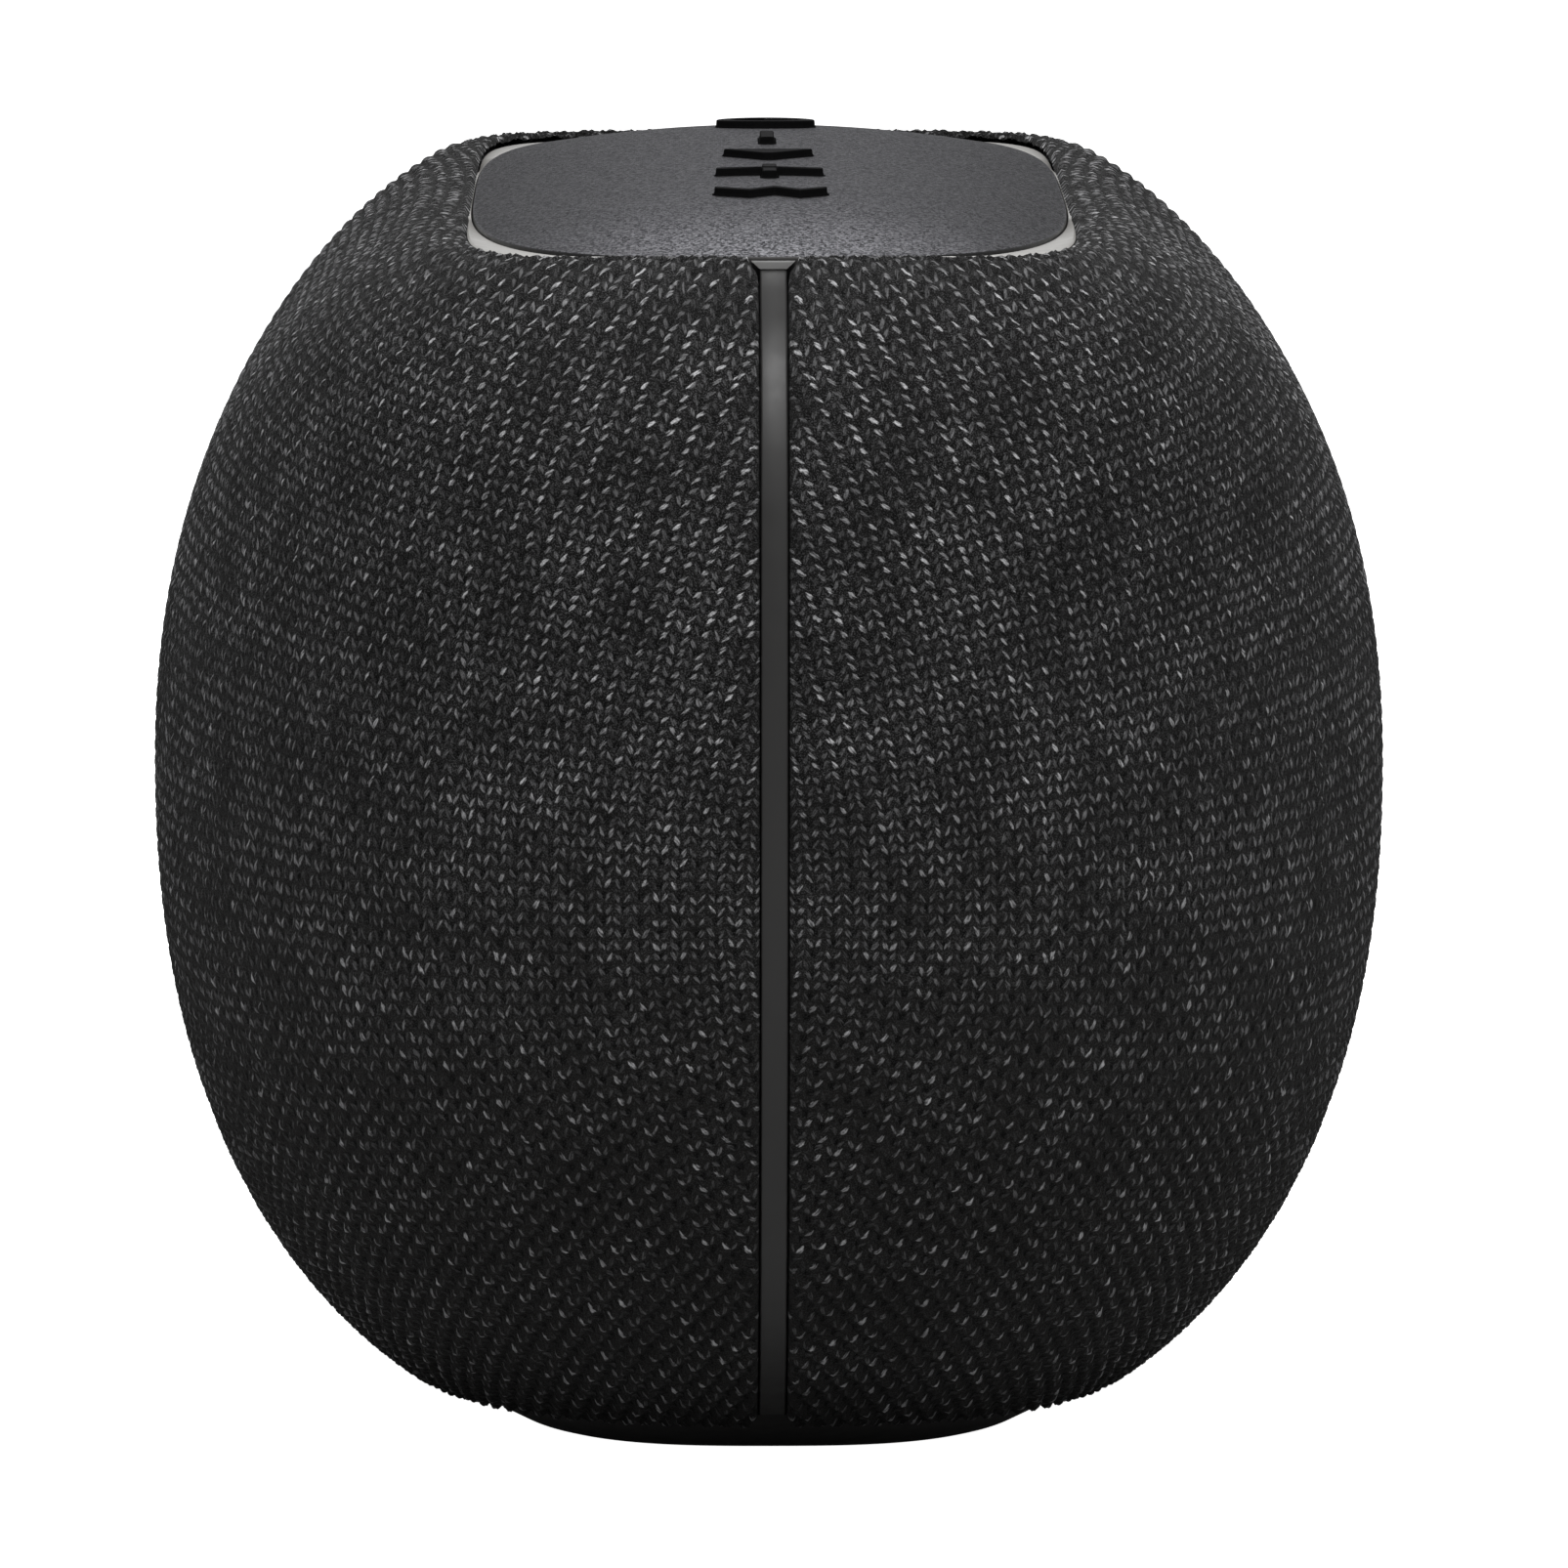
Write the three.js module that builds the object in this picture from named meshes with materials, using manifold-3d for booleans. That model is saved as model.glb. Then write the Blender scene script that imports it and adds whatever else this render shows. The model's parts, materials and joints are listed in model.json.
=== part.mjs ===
// A portable voice-speaker hub: a loaf-shaped cabinet in knitted fabric on a rubber foot, with five
// raised keys on a domed top plate. Inside are a woofer, a tweeter, a passive radiator, the battery
// and the boards.
// Frame: millimetres, +Z up, origin at the centre of the foot's underside. The long axis is Y, the
// woofer and tweeter fire towards -X, and the charging port faces +X. The seam strips are at the ends.
import * as THREE from "three";
import { ParametricGeometry } from "three/addons/geometries/ParametricGeometry.js";
import { mergeVertices } from "three/addons/utils/BufferGeometryUtils.js";
import Module from "manifold-3d";

const wasm = await Module();
wasm.setup();

// Driving dimensions: the cabinet
const HALF_WIDTH = 65;
const HALF_LENGTH = 100;
const WIDEST_Z = 67.7;
const RIM_Z = 127.5; // the fabric's top edge
const HEM_Z = 6.3; // the fabric's lower edge
const UPPER_REACH = 66.2; // height above the widest ring at which the upper profile would close
const LOWER_REACH = 72.9; // the same below it
const RIM_POWER = 5.45; // squareness of the ring at the rim: 2 is an ellipse
const MIDDLE_POWER = 2.35; // of the widest ring
const HEM_POWER = 2.75;
const AROUND = 32; // facets around the cabinet, the plate and the foot
const UP = 10; // facets up the cabinet's side
const JOINT_GAP = 0.3; // between pieces that sit against each other

// The layers of the wall, as depths below the fabric's outer face
const FABRIC = { outer: 0, inner: 1.2 };
const STRIP = { outer: 0.45, inner: 2.6, width: 2.7 };
const HOUSING = { outer: 1.5, inner: 4.2 };
const STRIP_CLEARANCE = 0.25; // each side of a seam strip
const STRIP_ENDS = { low: 1.2, high: 0.6 }; // gaps to the hem and to the bezel's tab
const END_SLOPE = 0.88; // how much of a wall depth a layer loses in height at the rim and the hem
const SPLIT_GAP = 0.3; // between the two halves of the housing
const INTERIOR = HOUSING.inner + JOINT_GAP;

// The top: a domed plate whose edge lies in one plane, in a light bezel
const PLATE = { halfWidth: 31, halfLength: 76, power: 3.6, edgeZ: 127.3, crown: 3.7, thick: 1.8 };
const CROWN_LENGTHWISE = 4.4; // how late the crown falls off along the plate
const BEZEL_WIDTH = 1.5;
const BEZEL_TOP_Z = 127;
const BEZEL_BASE_Z = 123.9;
const BEZEL_LEDGE = { reach: 2, thick: 1.3 };
const TAB = { wide: 5.2, narrow: 2.7, drop: 1.4 }; // the bezel's tongue over each seam strip
const OPENING_GROWTH = JOINT_GAP + BEZEL_WIDTH + JOINT_GAP;
const OPENING_PLAN = { ...PLATE, power: 4.3 }; // squarer than the plate, so that corners show bezel

// The keys, from one end of the plate to the other
const KEY = { rise: 0.8, powerRise: 1.2, stroke: 1.5, travel: 0.5, gap: 0.25 };
const KEY_FLANGE = { radius: 7, thick: 1.2 };
const KEY_PLACES = { link: -43, plus: -21.5, play: 0, minus: 21.5, power: 47 };
const RING_RADIUS = 5.4;
const RING_GAP = 0.6; // between the power sign's ring and the bar in it

// Below the keys: mat, switches, board and the pan that holds them
const SWITCH = { side: 6, base: 121.6, height: 3.5 };
const MAT = { halfWidth: 8, halfLength: 56, base: 125.2, thick: 0.7, nubRadius: 2.2, clearance: 0.1 };
const KEY_BOARD = { halfWidth: 9, halfLength: 58, base: 119.9, thick: 1.6 };
const PAN = { floor: 117.6, floorThick: 2, top: 122.8, wall: 1.6, flange: 1 };

// The foot and the base that it is glued to
const FOOT = { halfWidth: 27.5, halfLength: 43.5, flareX: 10.5, flareY: 16.5, height: 6, power: 2.9 };
const BASE = { halfWidth: 30.4, halfLength: 49.4, power: 3, low: 6.3, high: 10.2 };
const BASE_OPENING_GROWTH = 0.4;
const HEM_CLEARANCE = 0.3;
const SCREW = { x: 25, y: 22, shaft: 1.25, head: 2.6, headHigh: 1.6, clearance: 0.35, top: 18 };

// The frame inside, with the battery on it and the boards against it
const TRAY = { halfWidth: 33, halfLength: 52, low: 10.5, high: 12.6, boss: 3.4, bossTop: 20 };
const POST = { near: 11.9, far: 14.9, y: 46, halfWide: 3, top: 99 };
const CELL = { radius: 9.2, length: 65, x: 9.8, z: 23.3, cap: 0.5 };
const HOLDER = { halfWidth: 21.2, halfLength: 35, low: 12.9, high: 24.5 };
const MAIN_BOARD = { near: 9.9, thick: 1.6, halfLength: 50, low: 42, high: 98 };

// Drivers: each is laid out along its own axis, from the outer face of the baffle that carries it
const BAFFLE = { face: 41, thick: 2.4 };
const WOOFER = { y: -25, z: 66, flange: 38.5, hole: 35.4, cone: 28.4, grille: 36 };
const TWEETER = { y: 45, z: 66, flange: 16, hole: 13.6, dome: 9, grille: 14 };
const RADIATOR = { y: 0, z: 70, flange: 35, hole: 32, plate: 23.6, grille: 32 };
const GRILLE_SLOT = 5;
const GRILLE_PITCH = 11;
const GRILLE_RIM = 2.5;
const TURNED = 16; // facets around a turned piece
const SCREW_HOLE = 1.6;

// The charging port, square to the cabinet's wall low on the back
const PORT = { z: 21, tilt: THREE.MathUtils.degToRad(32), reach: 53.4, wide: 14, high: 8.4 };
const PORT_CLEARANCE = 0.3;

// ---- Solids: three.js geometry in, manifold solid out ----

function solidOf(geometry) {
  const bare = geometry.index ? geometry.toNonIndexed() : geometry.clone();
  for (const name of Object.keys(bare.attributes)) {
    if (name !== "position") bare.deleteAttribute(name);
  }
  const merged = mergeVertices(bare, 1e-4);
  const corners = merged.index.array;
  const kept = [];
  for (let i = 0; i < corners.length; i += 3) {
    const [a, b, c] = corners.slice(i, i + 3);
    if (a !== b && b !== c && c !== a) kept.push([a, b, c]);
  }
  const vertProperties = merged.attributes.position.array;
  const made = (triangles) => {
    const triVerts = new Uint32Array(triangles.flat());
    return new wasm.Manifold(new wasm.Mesh({ numProp: 3, vertProperties, triVerts }));
  };
  const solid = made(kept);
  return solid.volume() > 0 ? solid : made(kept.map(([a, b, c]) => [a, c, b]));
}

function geometryOf(solid) {
  const mesh = solid.getMesh();
  const geometry = new THREE.BufferGeometry();
  geometry.setAttribute("position", new THREE.BufferAttribute(mesh.vertProperties, 3));
  geometry.setIndex(new THREE.BufferAttribute(mesh.triVerts, 1));
  return geometry;
}

function joined(...solids) {
  return solids.reduce((whole, piece) => whole.add(piece));
}

function block(x0, x1, y0, y1, z0, z1) {
  const box = new THREE.BoxGeometry(x1 - x0, y1 - y0, z1 - z0);
  return solidOf(box.translate((x0 + x1) / 2, (y0 + y1) / 2, (z0 + z1) / 2));
}

function prism(shape, z0, z1) {
  const options = { depth: z1 - z0, bevelEnabled: false, curveSegments: 10 };
  return solidOf(new THREE.ExtrudeGeometry(shape, options).translate(0, 0, z0));
}

function upright(radius, z0, z1, x, y, facets = 10) {
  const cylinder = new THREE.CylinderGeometry(radius, radius, z1 - z0, facets);
  return solidOf(cylinder.rotateX(Math.PI / 2).translate(x, y, (z0 + z1) / 2));
}

// A closed outline of [radius, height] pairs turned about the Y axis.
function turned(outline, facets = TURNED) {
  const points = outline.map(([radius, height]) => new THREE.Vector2(radius, height));
  return new THREE.LatheGeometry(points, facets);
}

// ---- Plan outlines ----

// How far a rounded rectangle reaches at an angle, as a share of its half sides.
function planReach(angle, power) {
  const across = Math.abs(Math.cos(angle)) ** power;
  const along = Math.abs(Math.sin(angle)) ** power;
  return (across + along) ** (-1 / power);
}

function planShape(halfWidth, halfLength, power, facets = AROUND) {
  const points = [];
  for (let i = 0; i < facets; i++) {
    const angle = (2 * Math.PI * i) / facets;
    const reach = planReach(angle, power);
    const x = halfWidth * reach * Math.cos(angle);
    points.push(new THREE.Vector2(x, halfLength * reach * Math.sin(angle)));
  }
  return new THREE.Shape(points);
}

// The outline moved outwards by a distance, with sharp corners. Its points run anticlockwise.
function outset(points, distance) {
  const count = points.length;
  return points.map((point, i) => {
    const before = points[(i + count - 1) % count];
    const after = points[(i + 1) % count];
    const inDirection = point.clone().sub(before).normalize();
    const outDirection = after.clone().sub(point).normalize();
    const inNormal = new THREE.Vector2(inDirection.y, -inDirection.x);
    const outNormal = new THREE.Vector2(outDirection.y, -outDirection.x);
    const bisector = inNormal.clone().add(outNormal).normalize();
    return point.clone().addScaledVector(bisector, distance / bisector.dot(inNormal));
  });
}

// ---- The cabinet's surface ----

// The half sides and the squareness of the ring at a height.
function ringAt(z) {
  if (z >= WIDEST_Z) {
    const rise = (z - WIDEST_Z) / UPPER_REACH;
    const share = (z - WIDEST_Z) / (RIM_Z - WIDEST_Z);
    return {
      a: HALF_WIDTH * (1 - rise ** 2.1) ** (1 / 2.8),
      b: HALF_LENGTH * (1 - rise ** 4.5) ** (1 / 4.25),
      power: MIDDLE_POWER + (RIM_POWER - MIDDLE_POWER) * share ** 4,
    };
  }
  const fall = (WIDEST_Z - z) / LOWER_REACH;
  const share = (WIDEST_Z - z) / (WIDEST_Z - HEM_Z);
  const closing = (1 - fall ** 2.27) ** (1 / 2.4);
  return { a: HALF_WIDTH * closing, b: HALF_LENGTH * closing, power: MIDDLE_POWER + (HEM_POWER - MIDDLE_POWER) * share ** 3 };
}

function wallPoint(angle, z) {
  const ring = ringAt(z);
  const reach = planReach(angle, ring.power);
  return new THREE.Vector3(
    ring.a * reach * Math.cos(angle),
    ring.b * reach * Math.sin(angle),
    z,
  );
}

function wallNormal(angle, z) {
  const step = 1e-3;
  const inside = Math.min(Math.max(z, HEM_Z + step), RIM_Z - step);
  const around = wallPoint(angle + step, inside).sub(wallPoint(angle - step, inside));
  const up = wallPoint(angle, inside + step).sub(wallPoint(angle, inside - step));
  return around.cross(up).normalize();
}

// The whole cabinet as one solid, its wall moved inwards by a depth and its ends closed flat.
// Rows run from the middle of the bottom to the hem, up to the rim, and to the middle of the top.
function cabinet(depth) {
  const hemRow = 1;
  const rimRow = UP + 1;
  const rows = UP + 2;
  const surface = (u, v, target) => {
    const row = Math.round(v * rows);
    const angle = (2 * Math.PI * Math.round(u * AROUND)) / AROUND;
    const share = (Math.min(Math.max(row, hemRow), rimRow) - hemRow) / UP;
    const z = HEM_Z + ((RIM_Z - HEM_Z) * (1 - Math.cos(Math.PI * share))) / 2;
    target.copy(wallPoint(angle, z)).addScaledVector(wallNormal(angle, z), -depth);
    if (row <= hemRow) target.z = HEM_Z + depth * END_SLOPE;
    if (row >= rimRow) target.z = RIM_Z - depth * END_SLOPE;
    if (row < hemRow || row > rimRow) target.set(0, 0, target.z);
  };
  return solidOf(new ParametricGeometry(surface, AROUND, rows));
}

const layers = new Map();
function cabinetLayer(depth) {
  if (!layers.has(depth)) layers.set(depth, cabinet(depth));
  return layers.get(depth);
}

function shell({ outer, inner }) {
  return cabinetLayer(outer).subtract(cabinetLayer(inner));
}

const FAR = 200; // past everything
const frontOf = (x) => block(-FAR, x, -FAR, FAR, -FAR, FAR);
const backOf = (x) => block(x, FAR, -FAR, FAR, -FAR, FAR);
const below = (z) => block(-FAR, FAR, -FAR, FAR, -FAR, z);

// A prism on a plan outline that has been grown by the same distance all round.
function planPrism({ halfWidth, halfLength, power }, growth, z0, z1) {
  return prism(planShape(halfWidth + growth, halfLength + growth, power), z0, z1);
}

function topOpening(growth, z0 = 100) {
  return planPrism(OPENING_PLAN, growth, z0, FAR);
}

function platePocket(growth, z0 = 100) {
  return planPrism(PLATE, growth, z0, FAR);
}

function bottomOpening(plan, growth) {
  return planPrism(plan, growth, -10, 30);
}

const footTop = {
  halfWidth: FOOT.halfWidth + FOOT.flareX,
  halfLength: FOOT.halfLength + FOOT.flareY,
  power: FOOT.power,
};

// A piece laid out along the Y axis, turned to face forwards (-X) or backwards (+X) at a driver.
function facing(side, driver, geometry) {
  const placed = geometry.clone().rotateZ(side === "front" ? Math.PI / 2 : -Math.PI / 2);
  const x = side === "front" ? -BAFFLE.face : BAFFLE.face;
  return solidOf(placed.translate(x, driver.y, driver.z));
}

function bore(side, driver, radius, from, to) {
  const cylinder = new THREE.CylinderGeometry(radius, radius, to - from, TURNED);
  return facing(side, driver, cylinder.translate(0, (from + to) / 2, 0));
}

// ---- Cabinet pieces ----

const hiddenWidth = STRIP.width / 2 + STRIP_CLEARANCE;

function fabricPanels() {
  const cover = shell(FABRIC)
    .subtract(topOpening(OPENING_GROWTH))
    .subtract(bottomOpening(footTop, HEM_CLEARANCE))
    .subtract(portHole());
  return {
    front: cover.intersect(frontOf(-hiddenWidth)),
    back: cover.intersect(backOf(hiddenWidth)),
  };
}

function seamStrip(end) {
  const low = HEM_Z + STRIP_ENDS.low;
  const high = RIM_Z - TAB.drop - STRIP_ENDS.high;
  const half = STRIP.width / 2;
  const y = end < 0 ? [-FAR, 0] : [0, FAR];
  return shell(STRIP)
    .intersect(block(-half, half, ...y, low, high))
    .subtract(topOpening(OPENING_GROWTH))
    .subtract(bottomOpening(footTop, 1));
}

function housings() {
  const groove = cabinetLayer(0).subtract(cabinetLayer(STRIP.inner + JOINT_GAP));
  const seam = groove.intersect(block(-hiddenWidth, hiddenWidth, -FAR, FAR, -FAR, FAR));
  const whole = shell(HOUSING)
    .subtract(topOpening(OPENING_GROWTH))
    .subtract(bottomOpening(BASE, BASE_OPENING_GROWTH))
    .subtract(seam);
  const woofer = bore("front", WOOFER, WOOFER.grille + JOINT_GAP, 0, FAR);
  const tweeter = bore("front", TWEETER, TWEETER.grille + JOINT_GAP, 0, FAR);
  const radiator = bore("back", RADIATOR, RADIATOR.grille + JOINT_GAP, 0, FAR);
  return {
    front: whole.intersect(frontOf(-SPLIT_GAP / 2)).subtract(woofer).subtract(tweeter),
    back: whole.intersect(backOf(SPLIT_GAP / 2)).subtract(radiator).subtract(portHole()),
  };
}

// The part of the wall in front of a driver, slotted to let sound out.
function grille(side, driver) {
  let piece = shell(HOUSING).intersect(bore(side, driver, driver.grille, 0, FAR));
  const inner = driver.grille - GRILLE_RIM;
  const count = Math.floor((inner - GRILLE_SLOT / 2) / GRILLE_PITCH);
  const x = side === "front" ? [-FAR, -BAFFLE.face] : [BAFFLE.face, FAR];
  for (let i = -count; i <= count; i++) {
    const middle = i * GRILLE_PITCH;
    const half = Math.sqrt(inner ** 2 - (Math.abs(middle) + GRILLE_SLOT / 2) ** 2);
    const y0 = driver.y + middle - GRILLE_SLOT / 2;
    piece = piece.subtract(block(...x, y0, y0 + GRILLE_SLOT, driver.z - half, driver.z + half));
  }
  return piece;
}

// The flat wall that carries a side's drivers.
function baffle(side, drivers) {
  const inside = BAFFLE.face - BAFFLE.thick;
  const slab = side === "front" ? [-BAFFLE.face, -inside] : [inside, BAFFLE.face];
  let wall = cabinetLayer(INTERIOR).intersect(block(...slab, -FAR, FAR, 20, 114));
  for (const driver of drivers) {
    wall = wall.subtract(bore(side, driver, driver.hole, -10, 10));
  }
  if (!drivers.includes(WOOFER)) return wall;
  for (const place of wooferScrewPlaces()) {
    wall = wall.subtract(facing("front", WOOFER, pin(SCREW_HOLE, -10, 10, place, 8)));
  }
  return wall;
}

// ---- The top plate, its bezel and the keys ----

// The plate's upper face: the crown fades to nothing at the plate's edge.
function plateTop(x, y) {
  const { halfWidth, halfLength, power, edgeZ, crown } = PLATE;
  const along = Math.min(Math.abs(y) / halfLength, 1);
  const halfHere = Math.max(halfWidth * (1 - along ** power) ** (1 / power), 1e-6);
  const across = Math.min(Math.abs(x) / halfHere, 1);
  return edgeZ + crown * (1 - across ** 2) * (1 - along ** CROWN_LENGTHWISE);
}

function plateBlank() {
  const rings = 3;
  const rows = 2 * rings + 1;
  const face = (u, v, target) => {
    const row = Math.round(v * rows);
    const onTop = row > rings;
    const share = (onTop ? rows - row : row) / rings;
    const angle = (2 * Math.PI * Math.round(u * AROUND)) / AROUND;
    const reach = share * planReach(angle, PLATE.power);
    const x = PLATE.halfWidth * reach * Math.cos(angle);
    const y = PLATE.halfLength * reach * Math.sin(angle);
    const top = share === 1 ? PLATE.edgeZ : plateTop(x, y);
    target.set(x, y, onTop ? top : top - PLATE.thick);
  };
  return solidOf(new ParametricGeometry(face, AROUND, rows));
}

const toPoints = (pairs) => pairs.map(([x, y]) => new THREE.Vector2(x, y));

// Each key's raised sign, as an anticlockwise outline about the key's centre. The hub is used from
// its front, so the signs read with +X up.
const SIGNS = {
  link: zigzag([[-5.8, 1.3], [-2.2, -1.5], [0.4, 0.9], [3, -1.5], [5.8, 1.3]]),
  plus: cross(5.6, 4.2),
  play: toPoints([[-4.8, 2.6], [-0.5, -3.2], [0.5, -3.2], [4.8, 2.6]]),
  minus: toPoints([[-0.75, -4.2], [0.75, -4.2], [0.75, 4.2], [-0.75, 4.2]]),
  power: circle(RING_RADIUS),
};

function cross(halfX, halfY) {
  const half = KEY.stroke / 2;
  const quarter = [[halfX, -half], [halfX, half], [half, half], [half, halfY]];
  const opposite = quarter.map(([x, y]) => [-x, -y]);
  const left = [[-half, halfY], [-half, half]];
  const right = left.map(([x, y]) => [-x, -y]);
  return toPoints([...quarter, ...left, ...opposite, ...right]);
}

function circle(radius, facets = 16) {
  const step = (2 * Math.PI) / facets;
  const angles = Array.from({ length: facets }, (_, i) => i * step);
  return toPoints(angles.map((angle) => [radius * Math.cos(angle), radius * Math.sin(angle)]));
}

// A band of the stroke's width along a line that runs towards +X.
function zigzag(line) {
  const half = KEY.stroke / 2;
  const lower = line.map(([x, y]) => [x, y - half]);
  const upper = line.map(([x, y]) => [x, y + half]).reverse();
  return toPoints([...lower, ...upper]);
}

function signPrism(name, growth, z0, z1) {
  const outline = outset(SIGNS[name], growth);
  return prism(new THREE.Shape(outline), z0, z1).translate([0, KEY_PLACES[name], 0]);
}

function topPlate() {
  let plate = plateBlank();
  for (const name of Object.keys(SIGNS)) {
    plate = plate.subtract(signPrism(name, KEY.gap, 110, 140));
  }
  return plate;
}

// A key's flange stays clear of the plate's underside at the flange's outer end.
function flangeTop(name) {
  return plateTop(0, Math.abs(KEY_PLACES[name]) + KEY_FLANGE.radius) - PLATE.thick - JOINT_GAP;
}

function key(name) {
  const y = KEY_PLACES[name];
  const rise = name === "power" ? KEY.powerRise : KEY.rise;
  const top = plateTop(0, y) + rise;
  const under = flangeTop(name);
  const flange = upright(KEY_FLANGE.radius, under - KEY_FLANGE.thick, under, 0, y, 16);
  const sign = signPrism(name, 0, under - KEY_FLANGE.thick / 2, top);
  if (name !== "power") return joined(flange, sign);
  const half = KEY.stroke / 2;
  const inside = RING_RADIUS - KEY.stroke;
  const dish = upright(inside, top - rise, top + 1, 0, y, 16);
  const bar = block(0, inside - RING_GAP, y - half, y + half, top - rise - 0.2, top);
  return joined(flange, sign.subtract(dish), bar);
}

function bezel() {
  const outer = topOpening(JOINT_GAP + BEZEL_WIDTH, BEZEL_BASE_Z).intersect(below(BEZEL_TOP_Z));
  const pocket = platePocket(JOINT_GAP, BEZEL_BASE_Z + BEZEL_LEDGE.thick);
  const hole = platePocket(-BEZEL_LEDGE.reach);
  let ring = outer.subtract(pocket).subtract(hole);
  for (const end of [-1, 1]) ring = ring.add(bezelTab(end));
  return ring;
}

// A tongue that reaches out from the bezel over the top of a seam strip and narrows downwards.
function bezelTab(end) {
  const top = BEZEL_TOP_Z;
  const low = RIM_Z - TAB.drop;
  const inner = PLATE.halfLength + JOINT_GAP + BEZEL_WIDTH / 2;
  const outline = toPoints([
    [-TAB.narrow / 2, low],
    [TAB.narrow / 2, low],
    [TAB.wide / 2, top],
    [-TAB.wide / 2, top],
  ]);
  const options = { depth: FAR, bevelEnabled: false };
  const wedge = new THREE.ExtrudeGeometry(new THREE.Shape(outline), options);
  wedge.rotateX(Math.PI / 2).translate(0, end < 0 ? -inner : inner + FAR, 0);
  return solidOf(wedge).intersect(cabinetLayer(STRIP.outer));
}

function tabClearance(end) {
  const half = TAB.wide / 2 + STRIP_CLEARANCE;
  const y = end < 0 ? [-FAR, -PLATE.halfLength] : [PLATE.halfLength, FAR];
  return block(-half, half, ...y, RIM_Z - TAB.drop - JOINT_GAP, FAR);
}

// ---- Below the keys ----

function keyMat() {
  const { halfWidth, halfLength, base, thick, nubRadius } = MAT;
  let mat = block(-halfWidth, halfWidth, -halfLength, halfLength, base, base + thick);
  for (const [name, y] of Object.entries(KEY_PLACES)) {
    const nubTop = flangeTop(name) - KEY_FLANGE.thick - KEY.travel - MAT.clearance;
    mat = mat.add(upright(nubRadius, base, Math.max(nubTop, base + thick + 0.05), 0, y, 12));
  }
  return mat;
}

function keySwitch(name) {
  const y = KEY_PLACES[name];
  const half = SWITCH.side / 2;
  const bodyTop = SWITCH.base + SWITCH.height * 0.7;
  const body = block(-half, half, y - half, y + half, SWITCH.base, bodyTop);
  return body.add(upright(1.7, bodyTop - 1, SWITCH.base + SWITCH.height, 0, y, 12));
}

function keyPan() {
  const { floor, floorThick, top, wall, flange } = PAN;
  const rim = planPrism(OPENING_PLAN, OPENING_GROWTH + flange, top - wall, top);
  const hollow = planPrism(PLATE, -wall, floor + floorThick, top + 1);
  const cableHole = block(-6, 6, 62, 66, floor - 1, floor + floorThick + 1);
  return planPrism(PLATE, 0, floor, top).add(rim).subtract(hollow).subtract(cableHole);
}

// ---- Drivers ----

// A ring of rectangular section about the driver's axis.
function ringOutline(inner, outer, low, high) {
  return [[inner, low], [outer, low], [outer, high], [inner, high], [inner, low]];
}

function discOutline(radius, low, high) {
  return [[0, low], [radius, low], [radius, high], [0, high]];
}

// A half-roll of soft rubber between a cone's edge and its frame, with a flat glued skirt.
function rollOutline(inner, outer, skirt, base) {
  const thick = 0.8;
  const middle = (inner + outer) / 2;
  const radius = (outer - inner) / 2;
  const arc = (r, steps, back) =>
    Array.from({ length: steps + 1 }, (_, i) => {
      const angle = (Math.PI * (back ? i : steps - i)) / steps;
      return [middle + r * Math.cos(angle), base + 0.7 * r * Math.sin(angle)];
    });
  const outside = arc(radius, 5, true);
  const inside = arc(radius - thick, 5, false);
  return [
    [skirt, base],
    [skirt, base + thick],
    [outer, base + thick],
    ...outside.slice(1),
    ...inside,
    [skirt, base],
  ];
}

const WOOFER_DEPTH = { spider: -14, back: -24, magnet: 12 };

function wooferFrame() {
  const { flange, hole } = WOOFER;
  const back = WOOFER_DEPTH.back;
  const outline = [
    [12.4, back],
    [24, back],
    [hole - 0.5, -0.5],
    [hole - 0.5, 0.3],
    [flange, 0.3],
    [flange, 2.1],
    [30.8, 2.1],
    [22.2, back + 2],
    [12.4, back + 2],
    [12.4, back],
  ];
  let frame = facing("front", WOOFER, turned(outline));
  for (let i = 0; i < 2; i++) {
    const slot = new THREE.BoxGeometry(80, 9, 15).translate(0, -12, 0);
    frame = frame.subtract(facing("front", WOOFER, slot.rotateY((i * Math.PI) / 2)));
  }
  for (const place of wooferScrewPlaces()) {
    frame = frame.subtract(facing("front", WOOFER, pin(SCREW_HOLE, -3, 6, place, 8)));
  }
  return frame;
}

// A cylinder beside a driver's axis and parallel to it.
function pin(radius, from, to, [x, z], facets) {
  const cylinder = new THREE.CylinderGeometry(radius, radius, to - from, facets);
  return cylinder.translate(x, (from + to) / 2, z);
}

function wooferScrewPlaces() {
  const reach = WOOFER.flange - 2.2 - 0.1;
  return [45, 135, 225, 315].map((degrees) => {
    const angle = THREE.MathUtils.degToRad(degrees);
    return [reach * Math.cos(angle), reach * Math.sin(angle)];
  });
}

function wooferScrew(place) {
  const head = facing("front", WOOFER, pin(2.1, 2.4, 3.6, place, 10));
  return head.add(facing("front", WOOFER, pin(1.2, -4.2, 2.8, place, 8)));
}

function wooferMagnet() {
  const front = WOOFER_DEPTH.back - JOINT_GAP;
  const back = front - WOOFER_DEPTH.magnet;
  const outline = [
    [0, back],
    [26, back],
    [26, front],
    [11.2, front],
    [11.2, back + 3],
    [9.2, back + 3],
    [9.2, front + 1.5],
    [0, front + 1.5],
  ];
  return facing("front", WOOFER, turned(outline));
}

function wooferCone() {
  const edge = WOOFER.cone;
  const cap = 11;
  const dome = Array.from({ length: 5 }, (_, i) => {
    const share = i / 4;
    return [cap * (1 - share), -9 + 4 * Math.sin((share * Math.PI) / 2)];
  });
  const outline = [
    [0, -6],
    [cap - 1.5, -10.4],
    [10.6, -10.8],
    [edge - 0.6, -0.4],
    [edge, -0.4],
    [edge, 0.6],
    [cap + 0.8, -9.2],
    ...dome,
  ];
  return facing("front", WOOFER, turned(outline));
}

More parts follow.
